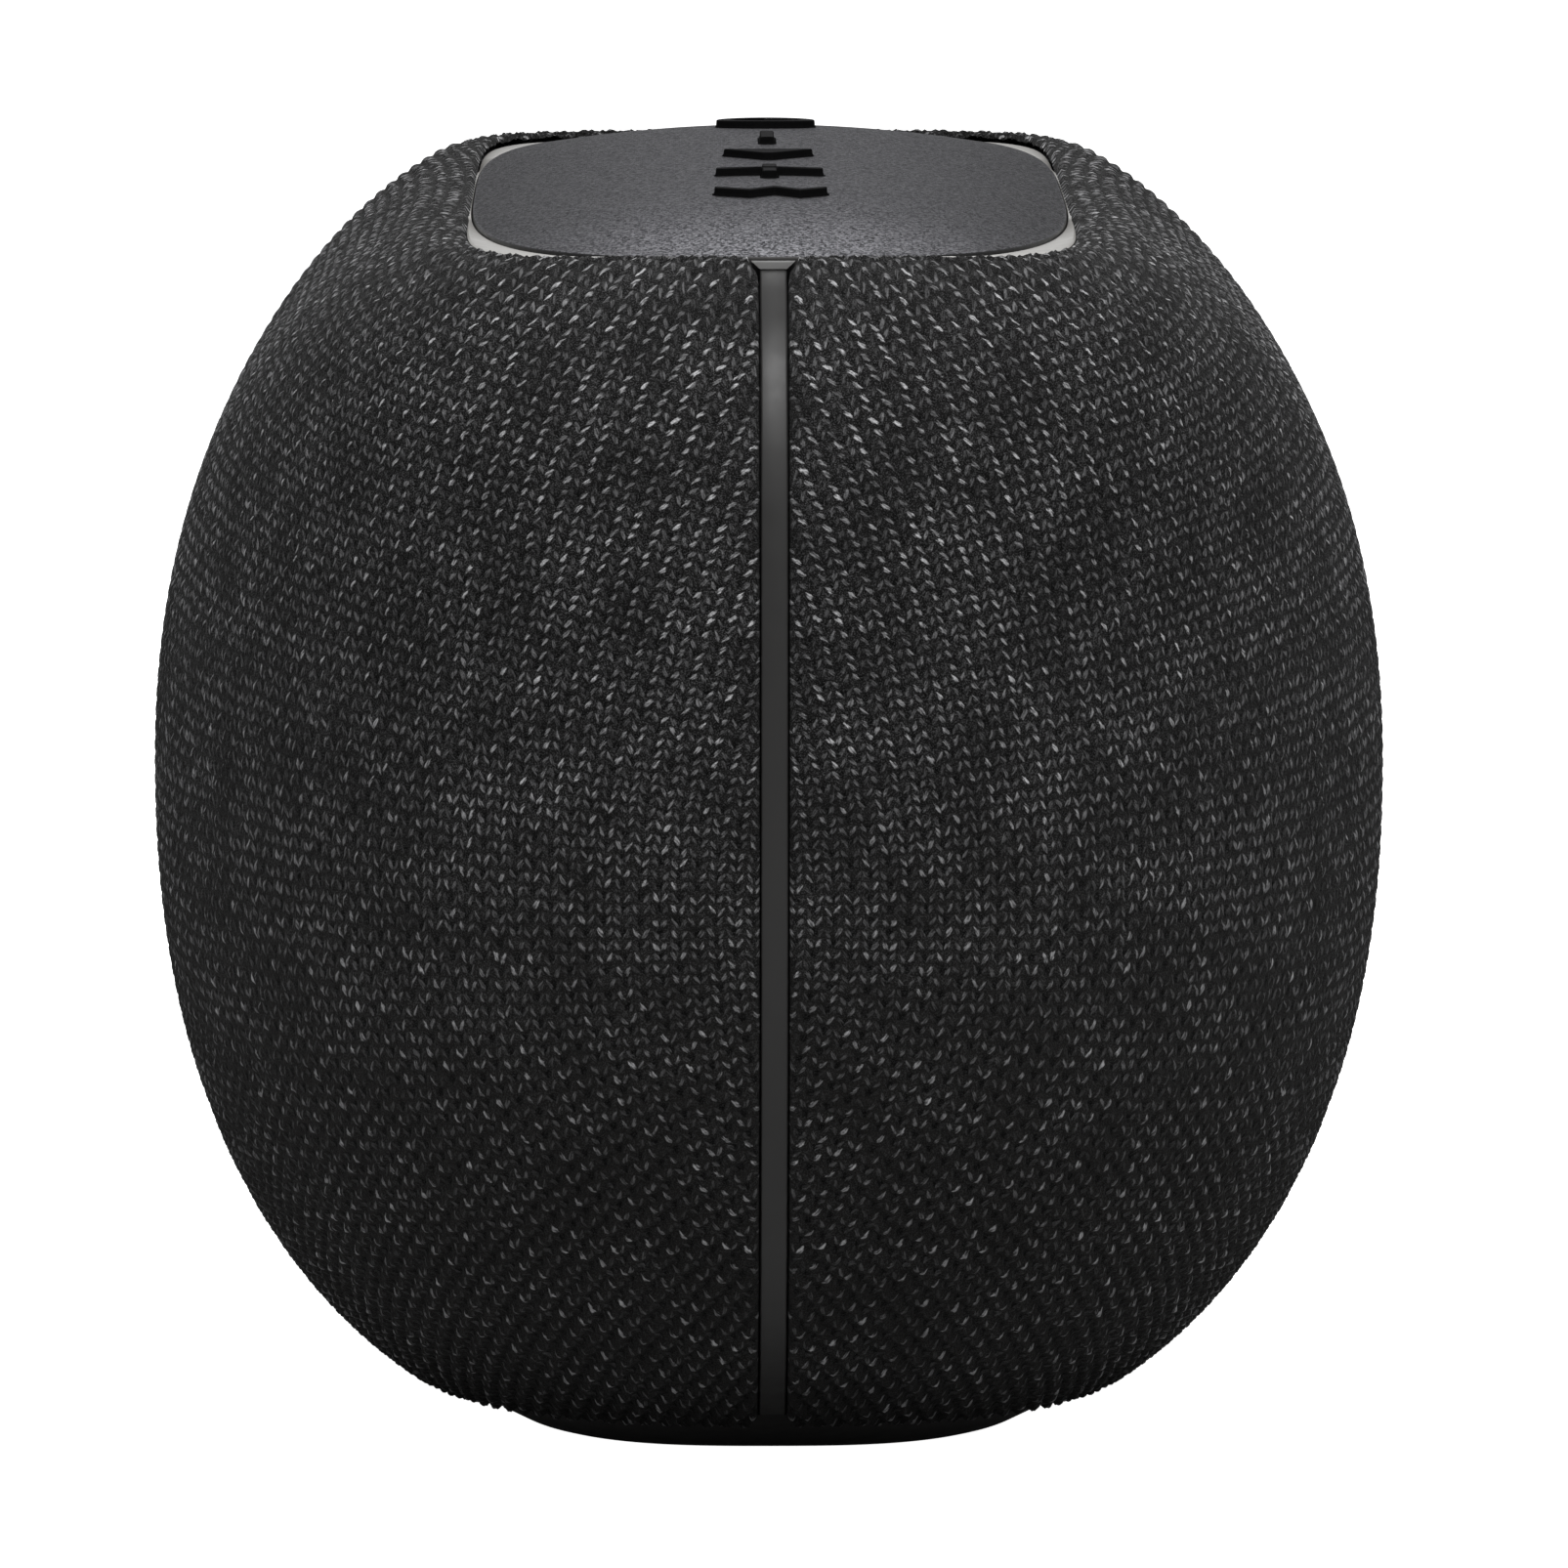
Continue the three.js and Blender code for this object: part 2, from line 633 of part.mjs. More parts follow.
function wooferCoil() {
  return facing("front", WOOFER, turned(ringOutline(9.6, 10.7, -31, -11.1)));
}

function wooferSurround() {
  return facing("front", WOOFER, turned(rollOutline(WOOFER.cone + 0.4, 32.8, 33.7, 2.4)));
}

function wooferSpider() {
  const base = WOOFER_DEPTH.spider;
  const ripples = 5;
  const inner = 11.1;
  const outer = 23.2;
  const wave = (height) =>
    Array.from({ length: ripples }, (_, i) => {
      const radius = inner + ((outer - inner) * i) / (ripples - 1);
      return [radius, base + height + (i % 2 ? 0.5 : -0.5)];
    });
  const outline = [...wave(0), ...wave(0.5).reverse()];
  return facing("front", WOOFER, turned([...outline, outline[0]]));
}

function tweeterFrame() {
  const { flange, hole } = TWEETER;
  const wall = hole - 0.4;
  const outline = [
    [0, -13],
    [wall, -13],
    [wall, 0.3],
    [flange, 0.3],
    [flange, 2.3],
    [wall - 1.6, 2.3],
    [wall - 1.6, -11],
    [0, -11],
  ];
  return facing("front", TWEETER, turned(outline));
}

function tweeterMagnet() {
  return facing("front", TWEETER, turned(discOutline(10, -10.7, -3.5)));
}

function domeOutline(radius, rise, thick, base) {
  const steps = 5;
  const arc = (r, h) =>
    Array.from({ length: steps + 1 }, (_, i) => {
      const angle = ((Math.PI / 2) * i) / steps;
      return [r * Math.cos(angle), base + h * Math.sin(angle)];
    });
  return [...arc(radius, rise), ...arc(radius - thick, rise - thick).reverse()];
}

function tweeterDome() {
  const outline = domeOutline(TWEETER.dome, 3.2, 0.7, -1.2).reverse();
  return facing("front", TWEETER, turned([...outline, outline[0]]));
}

function tweeterSurround() {
  const { dome, hole } = TWEETER;
  return facing("front", TWEETER, turned(ringOutline(dome + 0.35, hole - 2.4, -1.2, 0.1)));
}

function radiatorFrame() {
  const { flange, hole } = RADIATOR;
  const outline = [
    [hole - 2.8, -7],
    [hole - 0.4, -7],
    [hole - 0.4, 0.3],
    [flange, 0.3],
    [flange, 2.1],
    [hole - 2.8, 2.1],
    [hole - 2.8, -7],
  ];
  return facing("back", RADIATOR, turned(outline));
}

function radiatorPlate() {
  const { plate } = RADIATOR;
  const outline = [
    [0, -3],
    [12, -3],
    [13, 0.6],
    [plate, 0.6],
    [plate, 2],
    [plate - 3, 2],
    [plate - 6, 1.2],
    [0, 1.2],
  ];
  return facing("back", RADIATOR, turned(outline));
}

function radiatorSurround() {
  const { plate, hole } = RADIATOR;
  return facing("back", RADIATOR, turned(rollOutline(plate + 0.4, hole - 0.8, hole, 2.4)));
}

// ---- The frame inside, battery and boards ----

const CORNERS = [[-1, -1], [1, -1], [1, 1], [-1, 1]];

function chassis() {
  const { halfWidth, halfLength, low, high, boss, bossTop } = TRAY;
  let tray = prism(planShape(halfWidth, halfLength, BASE.power), low, high);
  for (const [sx, sy] of CORNERS) {
    tray = tray.add(upright(boss, low, bossTop, sx * SCREW.x, sy * SCREW.y));
  }
  for (const [sx, sy] of CORNERS) {
    const radius = SCREW.shaft + SCREW.clearance;
    tray = tray.subtract(upright(radius, low - 1, SCREW.top + 0.6, sx * SCREW.x, sy * SCREW.y));
  }
  for (const side of [-1, 1]) {
    const y = side * POST.y;
    tray = tray.add(block(POST.near, POST.far, y - POST.halfWide, y + POST.halfWide, low, POST.top));
  }
  return tray;
}

function batteryHolder() {
  const { halfWidth, halfLength, low, high } = HOLDER;
  let holder = block(-halfWidth, halfWidth, -halfLength, halfLength, low, high);
  for (const side of [-1, 1]) {
    const room = lyingCell(side, CELL.radius + JOINT_GAP, CELL.length + 2 * JOINT_GAP + CELL.cap);
    holder = holder.subtract(room);
  }
  return holder;
}

function lyingCell(side, radius = CELL.radius, length = CELL.length) {
  const cell = new THREE.CylinderGeometry(radius, radius, length, 16);
  return solidOf(cell.translate(side * CELL.x, 0, CELL.z));
}

function batteryCell(side) {
  const cap = new THREE.CylinderGeometry(3, 3, 2 * CELL.cap, 8);
  return lyingCell(side).add(solidOf(cap.translate(side * CELL.x, CELL.length / 2, CELL.z)));
}

function mainBoard() {
  const { near, thick, halfLength, low, high } = MAIN_BOARD;
  return block(near, near + thick, -halfLength, halfLength, low, high);
}

// A shielded module on the board's rear face.
function boardModule(y0, y1, z0, z1, height) {
  const face = MAIN_BOARD.near + MAIN_BOARD.thick + 0.1;
  return block(face, face + height, y0, y1, z0, z1);
}

function basePlate() {
  const { halfWidth, halfLength, power, low, high } = BASE;
  let plate = prism(planShape(halfWidth, halfLength, power), low, high);
  for (const [sx, sy] of CORNERS) {
    const x = sx * SCREW.x;
    const y = sy * SCREW.y;
    const seat = low + SCREW.headHigh + SCREW.clearance;
    plate = plate.subtract(upright(SCREW.shaft + SCREW.clearance, low - 1, high + 1, x, y));
    plate = plate.subtract(upright(SCREW.head + SCREW.clearance, low - 1, seat, x, y));
  }
  return plate;
}

function baseScrew([sx, sy]) {
  const x = sx * SCREW.x;
  const y = sy * SCREW.y;
  const headTop = BASE.low + SCREW.headHigh;
  const head = upright(SCREW.head, BASE.low + 0.1, headTop, x, y);
  const socket = upright(1.1, BASE.low - 1, BASE.low + 0.9, x, y, 6);
  return head.add(upright(SCREW.shaft, headTop - 0.5, SCREW.top, x, y, 8)).subtract(socket);
}

// Rubber, wider at the top than at the floor, with a rounded lower edge.
function rubberFoot() {
  const { halfWidth, halfLength, flareX, flareY, height, power } = FOOT;
  // [share of the plan from its centre, spread as a share of the flare, height]
  const section = [
    [0, 0, 0],
    [1, -0.15, 0],
    [1, 0.05, 0.6],
    [1, 0.3, 2],
    [1, 0.7, 3.8],
    [1, 1, height - 0.4],
    [1, 0.95, height],
    [0, 0, height],
  ];
  const rows = section.length - 1;
  const face = (u, v, target) => {
    const [share, spread, z] = section[Math.round(v * rows)];
    const angle = (2 * Math.PI * Math.round(u * AROUND)) / AROUND;
    const reach = share * planReach(angle, power);
    const x = (halfWidth + spread * flareX) * reach * Math.cos(angle);
    const y = (halfLength + spread * flareY) * reach * Math.sin(angle);
    target.set(x, y, z);
  };
  return solidOf(new ParametricGeometry(face, AROUND, rows));
}

// ---- The charging port ----

// Pieces of the port are laid out with their mouth towards +X, then tilted and moved to the wall.
function atPort(geometry) {
  return solidOf(geometry.clone().rotateY(PORT.tilt).translate(PORT.reach, 0, PORT.z));
}

function slotShape(wide, high) {
  const shape = new THREE.Shape();
  const radius = high / 2;
  const half = wide / 2 - radius;
  shape.absarc(half, 0, radius, -Math.PI / 2, Math.PI / 2, false);
  shape.absarc(-half, 0, radius, Math.PI / 2, (3 * Math.PI) / 2, false);
  return shape;
}

function portBar(wide, high, from, to) {
  const options = { depth: to - from, bevelEnabled: false, curveSegments: 6 };
  const bar = new THREE.ExtrudeGeometry(slotShape(wide, high), options);
  return bar.rotateX(Math.PI / 2).rotateZ(Math.PI / 2).translate(from, 0, 0);
}

function portBlock(wide, high, from, to) {
  return atPort(portBar(wide, high, from, to));
}

// The room that the port takes in the fabric and the housing.
function portHole() {
  return portBlock(PORT.wide + 2 * PORT_CLEARANCE, PORT.high + 2 * PORT_CLEARANCE, -12, 8);
}

function portBezel() {
  const sleeve = portBlock(PORT.wide, PORT.high, -7, 0.2);
  return sleeve.subtract(portBlock(9.6, 3.9, -20, 20));
}

function portSocket() {
  const can = portBlock(9, 3.3, -8, -0.8);
  const mouth = portBlock(8.4, 2.7, -7, 5);
  const tongue = new THREE.BoxGeometry(5.4, 6.6, 0.7).translate(-4.7, 0, 0);
  return can.subtract(mouth).add(atPort(tongue));
}

function portBoard() {
  return atPort(new THREE.BoxGeometry(1.4, 18, 11).translate(-9, 0, 0));
}

// ---- Finishes ----

const finish = (color, roughness, metalness = 0) => ({ color, roughness, metalness });
const FINISH = {
  knit: finish(0x1e1e20, 0.95),
  strip: finish(0x3a3a3c, 0.6),
  plate: finish(0x545456, 0.45, 0.6),
  bezel: finish(0xa29f99, 0.6),
  keyRubber: finish(0x101011, 0.55),
  softRubber: finish(0x141415, 0.85),
  shellPlastic: finish(0x1b1b1d, 0.6),
  innerPlastic: finish(0x2b2b2e, 0.7),
  board: finish(0x14402a, 0.5),
  steel: finish(0xb9babd, 0.35, 1),
  magnet: finish(0x2a2a2c, 0.4, 0.6),
  copper: finish(0xb06a3b, 0.35, 1),
  paper: finish(0x1c1c1d, 0.9),
  spider: finish(0xc09a55, 0.9),
  silk: finish(0x2b2b30, 0.6),
  cellWrap: finish(0x2f6e9b, 0.4),
};

const hub = new THREE.Group();

function place(name, solid, look) {
  const mesh = new THREE.Mesh(geometryOf(solid), new THREE.MeshStandardMaterial(look));
  mesh.name = name;
  hub.add(mesh);
}

// Cabinet
const fabric = fabricPanels();
const housing = housings();
const tabRoom = joined(tabClearance(-1), tabClearance(1));
place("fabric_front", fabric.front.subtract(tabRoom), FINISH.knit);
place("fabric_back", fabric.back.subtract(tabRoom), FINISH.knit);
place("seam_strip_left", seamStrip(-1), FINISH.strip);
place("seam_strip_right", seamStrip(1), FINISH.strip);
place("housing_front", housing.front.subtract(tabRoom), FINISH.shellPlastic);
place("housing_back", housing.back.subtract(tabRoom), FINISH.shellPlastic);
place("woofer_grille", grille("front", WOOFER), FINISH.shellPlastic);
place("tweeter_grille", grille("front", TWEETER), FINISH.shellPlastic);
place("radiator_grille", grille("back", RADIATOR), FINISH.shellPlastic);
place("baffle_front", baffle("front", [WOOFER, TWEETER]), FINISH.innerPlastic);
place("baffle_back", baffle("back", [RADIATOR]), FINISH.innerPlastic);
place("base_plate", basePlate(), FINISH.innerPlastic);
place("rubber_foot", rubberFoot(), FINISH.softRubber);

// Top
place("top_plate", topPlate(), FINISH.plate);
place("bezel_ring", bezel(), FINISH.bezel);
for (const name of Object.keys(SIGNS)) place(`${name}_button`, key(name), FINISH.keyRubber);
place("key_mat", keyMat(), FINISH.softRubber);
for (const name of Object.keys(SIGNS)) place(`${name}_switch`, keySwitch(name), FINISH.steel);
const keyBoard = block(
  -KEY_BOARD.halfWidth,
  KEY_BOARD.halfWidth,
  -KEY_BOARD.halfLength,
  KEY_BOARD.halfLength,
  KEY_BOARD.base,
  KEY_BOARD.base + KEY_BOARD.thick,
);
place("key_board", keyBoard, FINISH.board);
place("key_pan", keyPan(), FINISH.innerPlastic);

// Drivers
place("woofer_frame", wooferFrame(), FINISH.steel);
place("woofer_magnet", wooferMagnet(), FINISH.magnet);
place("woofer_cone", wooferCone(), FINISH.paper);
place("woofer_coil", wooferCoil(), FINISH.copper);
place("woofer_surround", wooferSurround(), FINISH.softRubber);
place("woofer_spider", wooferSpider(), FINISH.spider);
wooferScrewPlaces().forEach((spot, i) => place(`woofer_screw_${i + 1}`, wooferScrew(spot), FINISH.steel));
place("tweeter_frame", tweeterFrame(), FINISH.innerPlastic);
place("tweeter_magnet", tweeterMagnet(), FINISH.magnet);
place("tweeter_dome", tweeterDome(), FINISH.silk);
place("tweeter_surround", tweeterSurround(), FINISH.silk);
place("radiator_frame", radiatorFrame(), FINISH.innerPlastic);
place("radiator_plate", radiatorPlate(), FINISH.paper);
place("radiator_surround", radiatorSurround(), FINISH.softRubber);

// Inside
place("chassis", chassis(), FINISH.innerPlastic);
place("battery_holder", batteryHolder(), FINISH.innerPlastic);
place("battery_cell_1", batteryCell(-1), FINISH.cellWrap);
place("battery_cell_2", batteryCell(1), FINISH.cellWrap);
place("main_board", mainBoard(), FINISH.board);
place("amplifier_shield", boardModule(-40, -8, 50, 80, 3), FINISH.steel);
place("radio_module", boardModule(12, 36, 60, 78, 2.4), FINISH.steel);
CORNERS.forEach((corner, i) => place(`base_screw_${i + 1}`, baseScrew(corner), FINISH.steel));
place("port_bezel", portBezel(), FINISH.softRubber);
place("port_socket", portSocket(), FINISH.steel);
place("port_board", portBoard(), FINISH.board);

export default hub;
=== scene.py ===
"""The looks of a portable voice-speaker hub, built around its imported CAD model.

Lengths are in millimetres until a mesh is made, and MM turns them into metres. The hub's long axis
is Y, its woofer side faces -X, and the camera looks along it from beyond its -Y end.
"""

import json
import math
from types import SimpleNamespace

import bpy
import numpy as np
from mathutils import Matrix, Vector
from mathutils.geometry import tessellate_polygon


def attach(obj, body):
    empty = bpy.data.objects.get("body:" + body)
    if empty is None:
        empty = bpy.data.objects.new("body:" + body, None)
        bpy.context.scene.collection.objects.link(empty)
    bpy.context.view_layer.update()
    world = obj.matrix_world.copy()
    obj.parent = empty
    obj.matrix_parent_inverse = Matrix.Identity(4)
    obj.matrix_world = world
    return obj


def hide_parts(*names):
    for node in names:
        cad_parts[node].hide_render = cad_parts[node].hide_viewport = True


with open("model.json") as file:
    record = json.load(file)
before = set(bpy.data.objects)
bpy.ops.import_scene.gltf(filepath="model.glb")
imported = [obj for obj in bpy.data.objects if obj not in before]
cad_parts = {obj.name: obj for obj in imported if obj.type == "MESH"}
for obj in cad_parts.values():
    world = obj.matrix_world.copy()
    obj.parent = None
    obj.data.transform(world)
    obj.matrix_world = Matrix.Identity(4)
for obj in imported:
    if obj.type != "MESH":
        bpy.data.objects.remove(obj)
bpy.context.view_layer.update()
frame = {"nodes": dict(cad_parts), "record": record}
MM = 0.001
BODY = "hub"

# The camera, in metres: beyond the near end and a little above the top
CAMERA_PLACE = (-0.009, -1.4, 0.2469)
CAMERA_LENS = 303.3
CAMERA_PITCH = math.radians(7.448)  # downwards
CAMERA_YAW = math.radians(-0.437)

# The cabinet's outer surface, as in the CAD model but for the cloth's hem, which laps lower
HALF_WIDTH = 65.0
HALF_LENGTH = 100.0
WIDEST_Z = 67.7
RIM_Z = 127.5
HEM_Z = 5.0
RIM_POWER = 5.45  # squareness of the ring at the rim: 2 is an ellipse
MIDDLE_POWER = 2.35
HEM_POWER = 2.75
UPPER_REACH = 66.2  # from the widest ring to where the upper curves would close
LOWER_REACH = 72.9
UPPER_SIDE_BULGE = (2.1, 2.8)  # powers of the curves' two terms
UPPER_END_BULGE = (4.5, 4.25)
LOWER_BULGE = (2.27, 2.4)

# The top plate, the bezel round it and the opening in the fabric
PLATE_HALF = (31.0, 76.0)
PLATE_POWER = 3.6
PLATE_EDGE_Z = 127.3
PLATE_THICK = 1.8
CROWN = 3.7
CROWN_LENGTHWISE = 4.4  # power of the crown's fall towards the ends
UPWARD = 0.8  # a face whose normal rises more than this belongs to the plate's upper side
BEZEL_GAP = 0.3  # between the plate and the bezel
BEZEL_TOP_Z = 126.95
BEZEL_RISE = 0.5  # of its outer side at the near corners, and its fall at the far ones
OPENING_HALF = (31.35, 78.2)
OPENING_POWER = 8.0  # squarer than the plate, so that the bezel shows at the corners
TAB = {"wide": 2.2, "narrow": 1.35, "top": 127.1, "low": 126.45, "back": 76.5}
TAB_DEPTH = 0.35  # of its face, in from the cabinet's outer surface
TAB_ROOM = 1.5  # how far the cloth drops to make way for a tab
TAB_SHOULDER = 3.4  # half the width of the bezel's dark end, painted shade under the plate's edge, from which the tab hangs

# The seam strip at each end, and the fabric's edges beside it
STRIP_HALF = 1.35
STRIP_DEPTH = 0.45
STRIP_EASED = 0.22
STRIP_BACK = 2.4
STRIP_LOW = 1.2  # above the hem
SEAM_HALF = 1.5
SEAM_ROLL = 0.9  # radius of the cloth's rolled edges at the seams
OPENING_ROLL = 0.7
SKIRT = 1.6  # how far the cloth turns in beside the strips

# The knit: a wale is a column of stitches, and a course is a row of them
WALE = 1.85
COURSE_MIDDLE = 1.06
COURSE_ENDS = 1.24
COURSE_SPREAD = 36.0  # height from the middle over which the courses widen
HALF_TURN = 131.0  # cloth from the seam to the middle of a side, at the widest ring
SLOPE_MOST = 0.385  # of the courses, where they meet the seam
SLOPE_Z = 64.0
SLOPE_REACH = 27.0
DIP_POWER = 2.6  # how soon a course levels out away from the seam
MIDDLE_WALE = 200.0  # the wales are counted from here, at the middle of a side
LEG_OFFSET = 0.27  # of the middle of a V's leg from the V's own middle, in wales
LEG_LEAN = math.radians(37)
LEG_HALF = (0.23, 0.52)  # across and along
LEG_FOLD = 0.14  # how much wider a leg is as relief, where it curves down to the ground
LEG_STRAY = 0.3  # how far legs lie from their places, from the one furthest left to the other
RELIEF = 0.28
SUNK_LEG = 0.3  # height of the legs between the raised stitches, as a share of the relief
HOLE_DEPTH = 0.8  # of the holes there, as a share of it
RIB_RELIEF = 0.16  # of the slanting ribs that the raised stitches form near the hem
RIBS_Z = (20.0, 52.0)  # where the ribs are fullest, and where they begin
CLOTH_STEP = 0.36  # between the rows of the cloth's mesh
CLOTH_COLUMNS = 561
HEM_ROWS = 7  # of the mesh that lie under the hem
RIM_ROWS = 10
HEM_FOLD = 6  # rows on either side over which the cloth bends round the hem
RIM_FOLD = 7
HEM_RUN = 2.3  # the cloth that turns in under the hem
RIM_RUN = 3.0

# The foot
FOOT_HALF = (28.5, 45.5)
FOOT_FLARE = (7.5, 11.5)
FOOT_POWER = 2.9
HEM_GAP = 0.3  # between the foot and the cloth under the hem

# The keys, with signs that read with +X up
KEY_Y = {"link": -43.0, "plus": -21.5, "play": 0.0, "minus": 21.5, "power": 47.0}
KEY_RISE = 0.8
KEY_STROKE = 1.5
RING_RADIUS = 5.4
KEY_GAP = 0.25
KEY_CORNER = 0.25
LINK_LINE = [(-5.8, 1.3), (-2.2, -1.5), (0.4, 0.9), (3, -1.5), (5.8, 1.3)]
PLUS_ARMS = (5.6, 4.2)
PLAY_CORNERS = [(-4.8, 2.6), (-0.5, -3.2), (0.5, -3.2), (4.8, 2.6)]
MINUS_ARM = 4.2
POWER_BAR = (-0.2, 3.2)

# The charging port on the back
PORT_REACH = 53.4
PORT_Z = 21.0
PORT_TILT = math.radians(32)
PORT_FLAT = 3.0  # half the straight stretch of the hole in the cloth
PORT_RADIUS = 4.6  # of that hole's rounded ends
SURROUND_FLAT = 2.85


# ---- Camera, light and floor ----

def turned_towards(place, aim):
    return (Vector(aim) - Vector(place)).to_track_quat("-Z", "Y").to_euler()


def add_camera():
    data = bpy.data.cameras.new("camera")
    data.lens = CAMERA_LENS
    data.sensor_width = 36
    data.clip_end = 20
    camera = bpy.data.objects.new("camera", data)
    bpy.context.scene.collection.objects.link(camera)
    camera.location = CAMERA_PLACE
    camera.rotation_euler = (math.pi / 2 - CAMERA_PITCH, 0, CAMERA_YAW)
    bpy.context.scene.camera = camera


def add_softbox(name, place, aim, width, height, power):
    data = bpy.data.lights.new(name, "AREA")
    data.shape = "RECTANGLE"
    data.size = width
    data.size_y = height
    data.energy = power
    lamp = bpy.data.objects.new(name, data)
    bpy.context.scene.collection.objects.link(lamp)
    lamp.location = place
    lamp.rotation_euler = turned_towards(place, aim)


def light_studio():
    add_softbox("softbox_above", (0.05, -0.5, 1.0), (0, 0, 0.1), 0.7, 0.6, 7.8)
    add_softbox("softbox_behind", (0, 0.75, 0.7), (0, 0, 0.12), 0.25, 0.4, 2.4)
    add_softbox("softbox_front", (0.5, -1.3, 0.7), (0, 0, 0.08), 0.8, 0.8, 0.6)
    world = bpy.data.worlds.new("studio")
    bpy.context.scene.world = world
    world.use_nodes = True
    tree = world.node_tree
    dim = tree.nodes["Background"]
    dim.inputs["Color"].default_value = (1, 1, 1, 1)
    dim.inputs["Strength"].default_value = 0.34
    seen = tree.nodes.new("ShaderNodeBackground")
    seen.inputs["Color"].default_value = (1, 1, 1, 1)
    path = tree.nodes.new("ShaderNodeLightPath")
    mix = tree.nodes.new("ShaderNodeMixShader")
    tree.links.new(path.outputs["Is Camera Ray"], mix.inputs["Fac"])
    tree.links.new(dim.outputs[0], mix.inputs[1])
    tree.links.new(seen.outputs[0], mix.inputs[2])
    tree.links.new(mix.outputs[0], tree.nodes["World Output"].inputs["Surface"])
    bpy.context.scene.view_settings.view_transform = "Standard"


# ---- Meshes ----

def mesh_piece(name, points, faces, body=BODY):
    """A smooth-shaded piece that rides on a body, from points in millimetres."""
    mesh = bpy.data.meshes.new(name)
    mesh.from_pydata((np.asarray(points, float) * MM).tolist(), [], [list(f) for f in faces])
    mesh.validate()
    mesh.shade_smooth()
    piece = bpy.data.objects.new(name, mesh)
    bpy.context.scene.collection.objects.link(piece)
    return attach(piece, body)


def grid_faces(rows, columns, wrap=False):
    """Quads over a grid of points stored row by row. With wrap, its last column joins its first."""
    down = np.arange(rows - 1)[:, None] * columns
    across = np.arange(columns if wrap else columns - 1)[None, :]
    after = (across + 1) % columns
    corners = [down + across, down + after, down + columns + after, down + columns + across]
    return np.stack(corners, axis=-1).reshape(-1, 4)


def loft(rings, cap_first=True, cap_last=True):
    """The points and faces of a tube through rings of equally many points."""
    rings = np.asarray(rings, float)
    count, around = rings.shape[:2]
    faces = grid_faces(count, around, wrap=True).tolist()
    if cap_first:
        faces.append(list(range(around))[::-1])
    if cap_last:
        faces.append(list(range((count - 1) * around, count * around)))
    return rings.reshape(-1, 3), faces


def prism(rings):
    """A loft upwards through anticlockwise, possibly hollow-sided outlines, with both ends capped."""
    points, faces = loft(rings, cap_first=False, cap_last=False)
    last = len(points) - len(rings[0])
    for corners in tessellate_polygon([[Vector(point) for point in rings[0]]]):
        faces.append(list(corners)[::-1])
    for corners in tessellate_polygon([[Vector(point) for point in rings[-1]]]):
        faces.append([last + corner for corner in corners])
    return points, faces


def sharpen(piece, degrees):
    """Shades the piece smooth, except across edges sharper than an angle."""
    with bpy.context.temp_override(object=piece, selected_editable_objects=[piece]):
        bpy.ops.object.shade_smooth_by_angle(angle=math.radians(degrees))


def smoothstep(low, high, value):
    share = np.clip((value - low) / (high - low), 0, 1)
    return share * share * (3 - 2 * share)


# ---- Outlines ----

def plan_outline(half_x, half_y, power, angles):
    """Points of a rounded rectangle at angles about its centre."""
    reach = (np.abs(np.cos(angles)) ** power + np.abs(np.sin(angles)) ** power) ** (-1 / power)
    return half_x * reach * np.cos(angles), half_y * reach * np.sin(angles)


def circle_angles(count):
    return np.arange(count) * 2 * np.pi / count


def half_outline(half_x, half_y, power, shares):
    """Points on an outline's +X half, at shares of the way from the near seam to the far one,
    and the length of that way."""
    count = 1801
    x, y = plan_outline(half_x, half_y, power, np.linspace(-np.pi / 2, np.pi / 2, count))
    length = np.concatenate([[0], np.cumsum(np.hypot(np.diff(x), np.diff(y)))])
    start = np.interp(SEAM_HALF, x[:count // 2], length[:count // 2])
    way = length[-1] - 2 * start
    along = start + shares * way
    return np.interp(along, length, x), np.interp(along, length, y), way


def outset(points, distance):
    """An anticlockwise outline moved outwards, with its corners kept sharp."""
    points = np.asarray(points, float)
    ahead = np.roll(points, -1, axis=0) - points
    ahead /= np.linalg.norm(ahead, axis=1)[:, None]
    leaving = np.stack([ahead[:, 1], -ahead[:, 0]], axis=1)
    arriving = np.roll(leaving, 1, axis=0)
    bisector = leaving + arriving
    bisector /= np.linalg.norm(bisector, axis=1)[:, None]
    return points + bisector * (distance / (bisector * arriving).sum(axis=1))[:, None]


def rounded(points, radius, steps=4):
    """An outline with each corner replaced by a short curve."""
    points = np.asarray(points, float)
    made = []
    for before, corner, after in zip(np.roll(points, 1, axis=0), points, np.roll(points, -1, axis=0)):
        start = corner + (before - corner) * radius / np.linalg.norm(before - corner)
        end = corner + (after - corner) * radius / np.linalg.norm(after - corner)
        for share in np.linspace(0, 1, steps + 1):
            near = start + (corner - start) * share
            far = corner + (end - corner) * share
            made.append(near + (far - near) * share)
    return np.array(made)


# ---- The cabinet's surface ----

def bulge(share, powers):
    """How wide a curve still is at a share of the way to where it closes."""
    return (1 - share ** powers[0]) ** (1 / powers[1])


def ring_sides(z):
    """The half width, half length and squareness of the cabinet's ring at a height."""
    rise = max(z - WIDEST_Z, 0) / UPPER_REACH
    fall = max(WIDEST_Z - z, 0) / LOWER_REACH
    closing = bulge(fall, LOWER_BULGE)
    half_x = HALF_WIDTH * bulge(rise, UPPER_SIDE_BULGE) * closing
    half_y = HALF_LENGTH * bulge(rise, UPPER_END_BULGE) * closing
    up = max(z - WIDEST_Z, 0) / (RIM_Z - WIDEST_Z)
    down = max(WIDEST_Z - z, 0) / (WIDEST_Z - HEM_Z)
    squarer = (RIM_POWER - MIDDLE_POWER) * up ** 4 + (HEM_POWER - MIDDLE_POWER) * down ** 3
    return half_x, half_y, MIDDLE_POWER + squarer


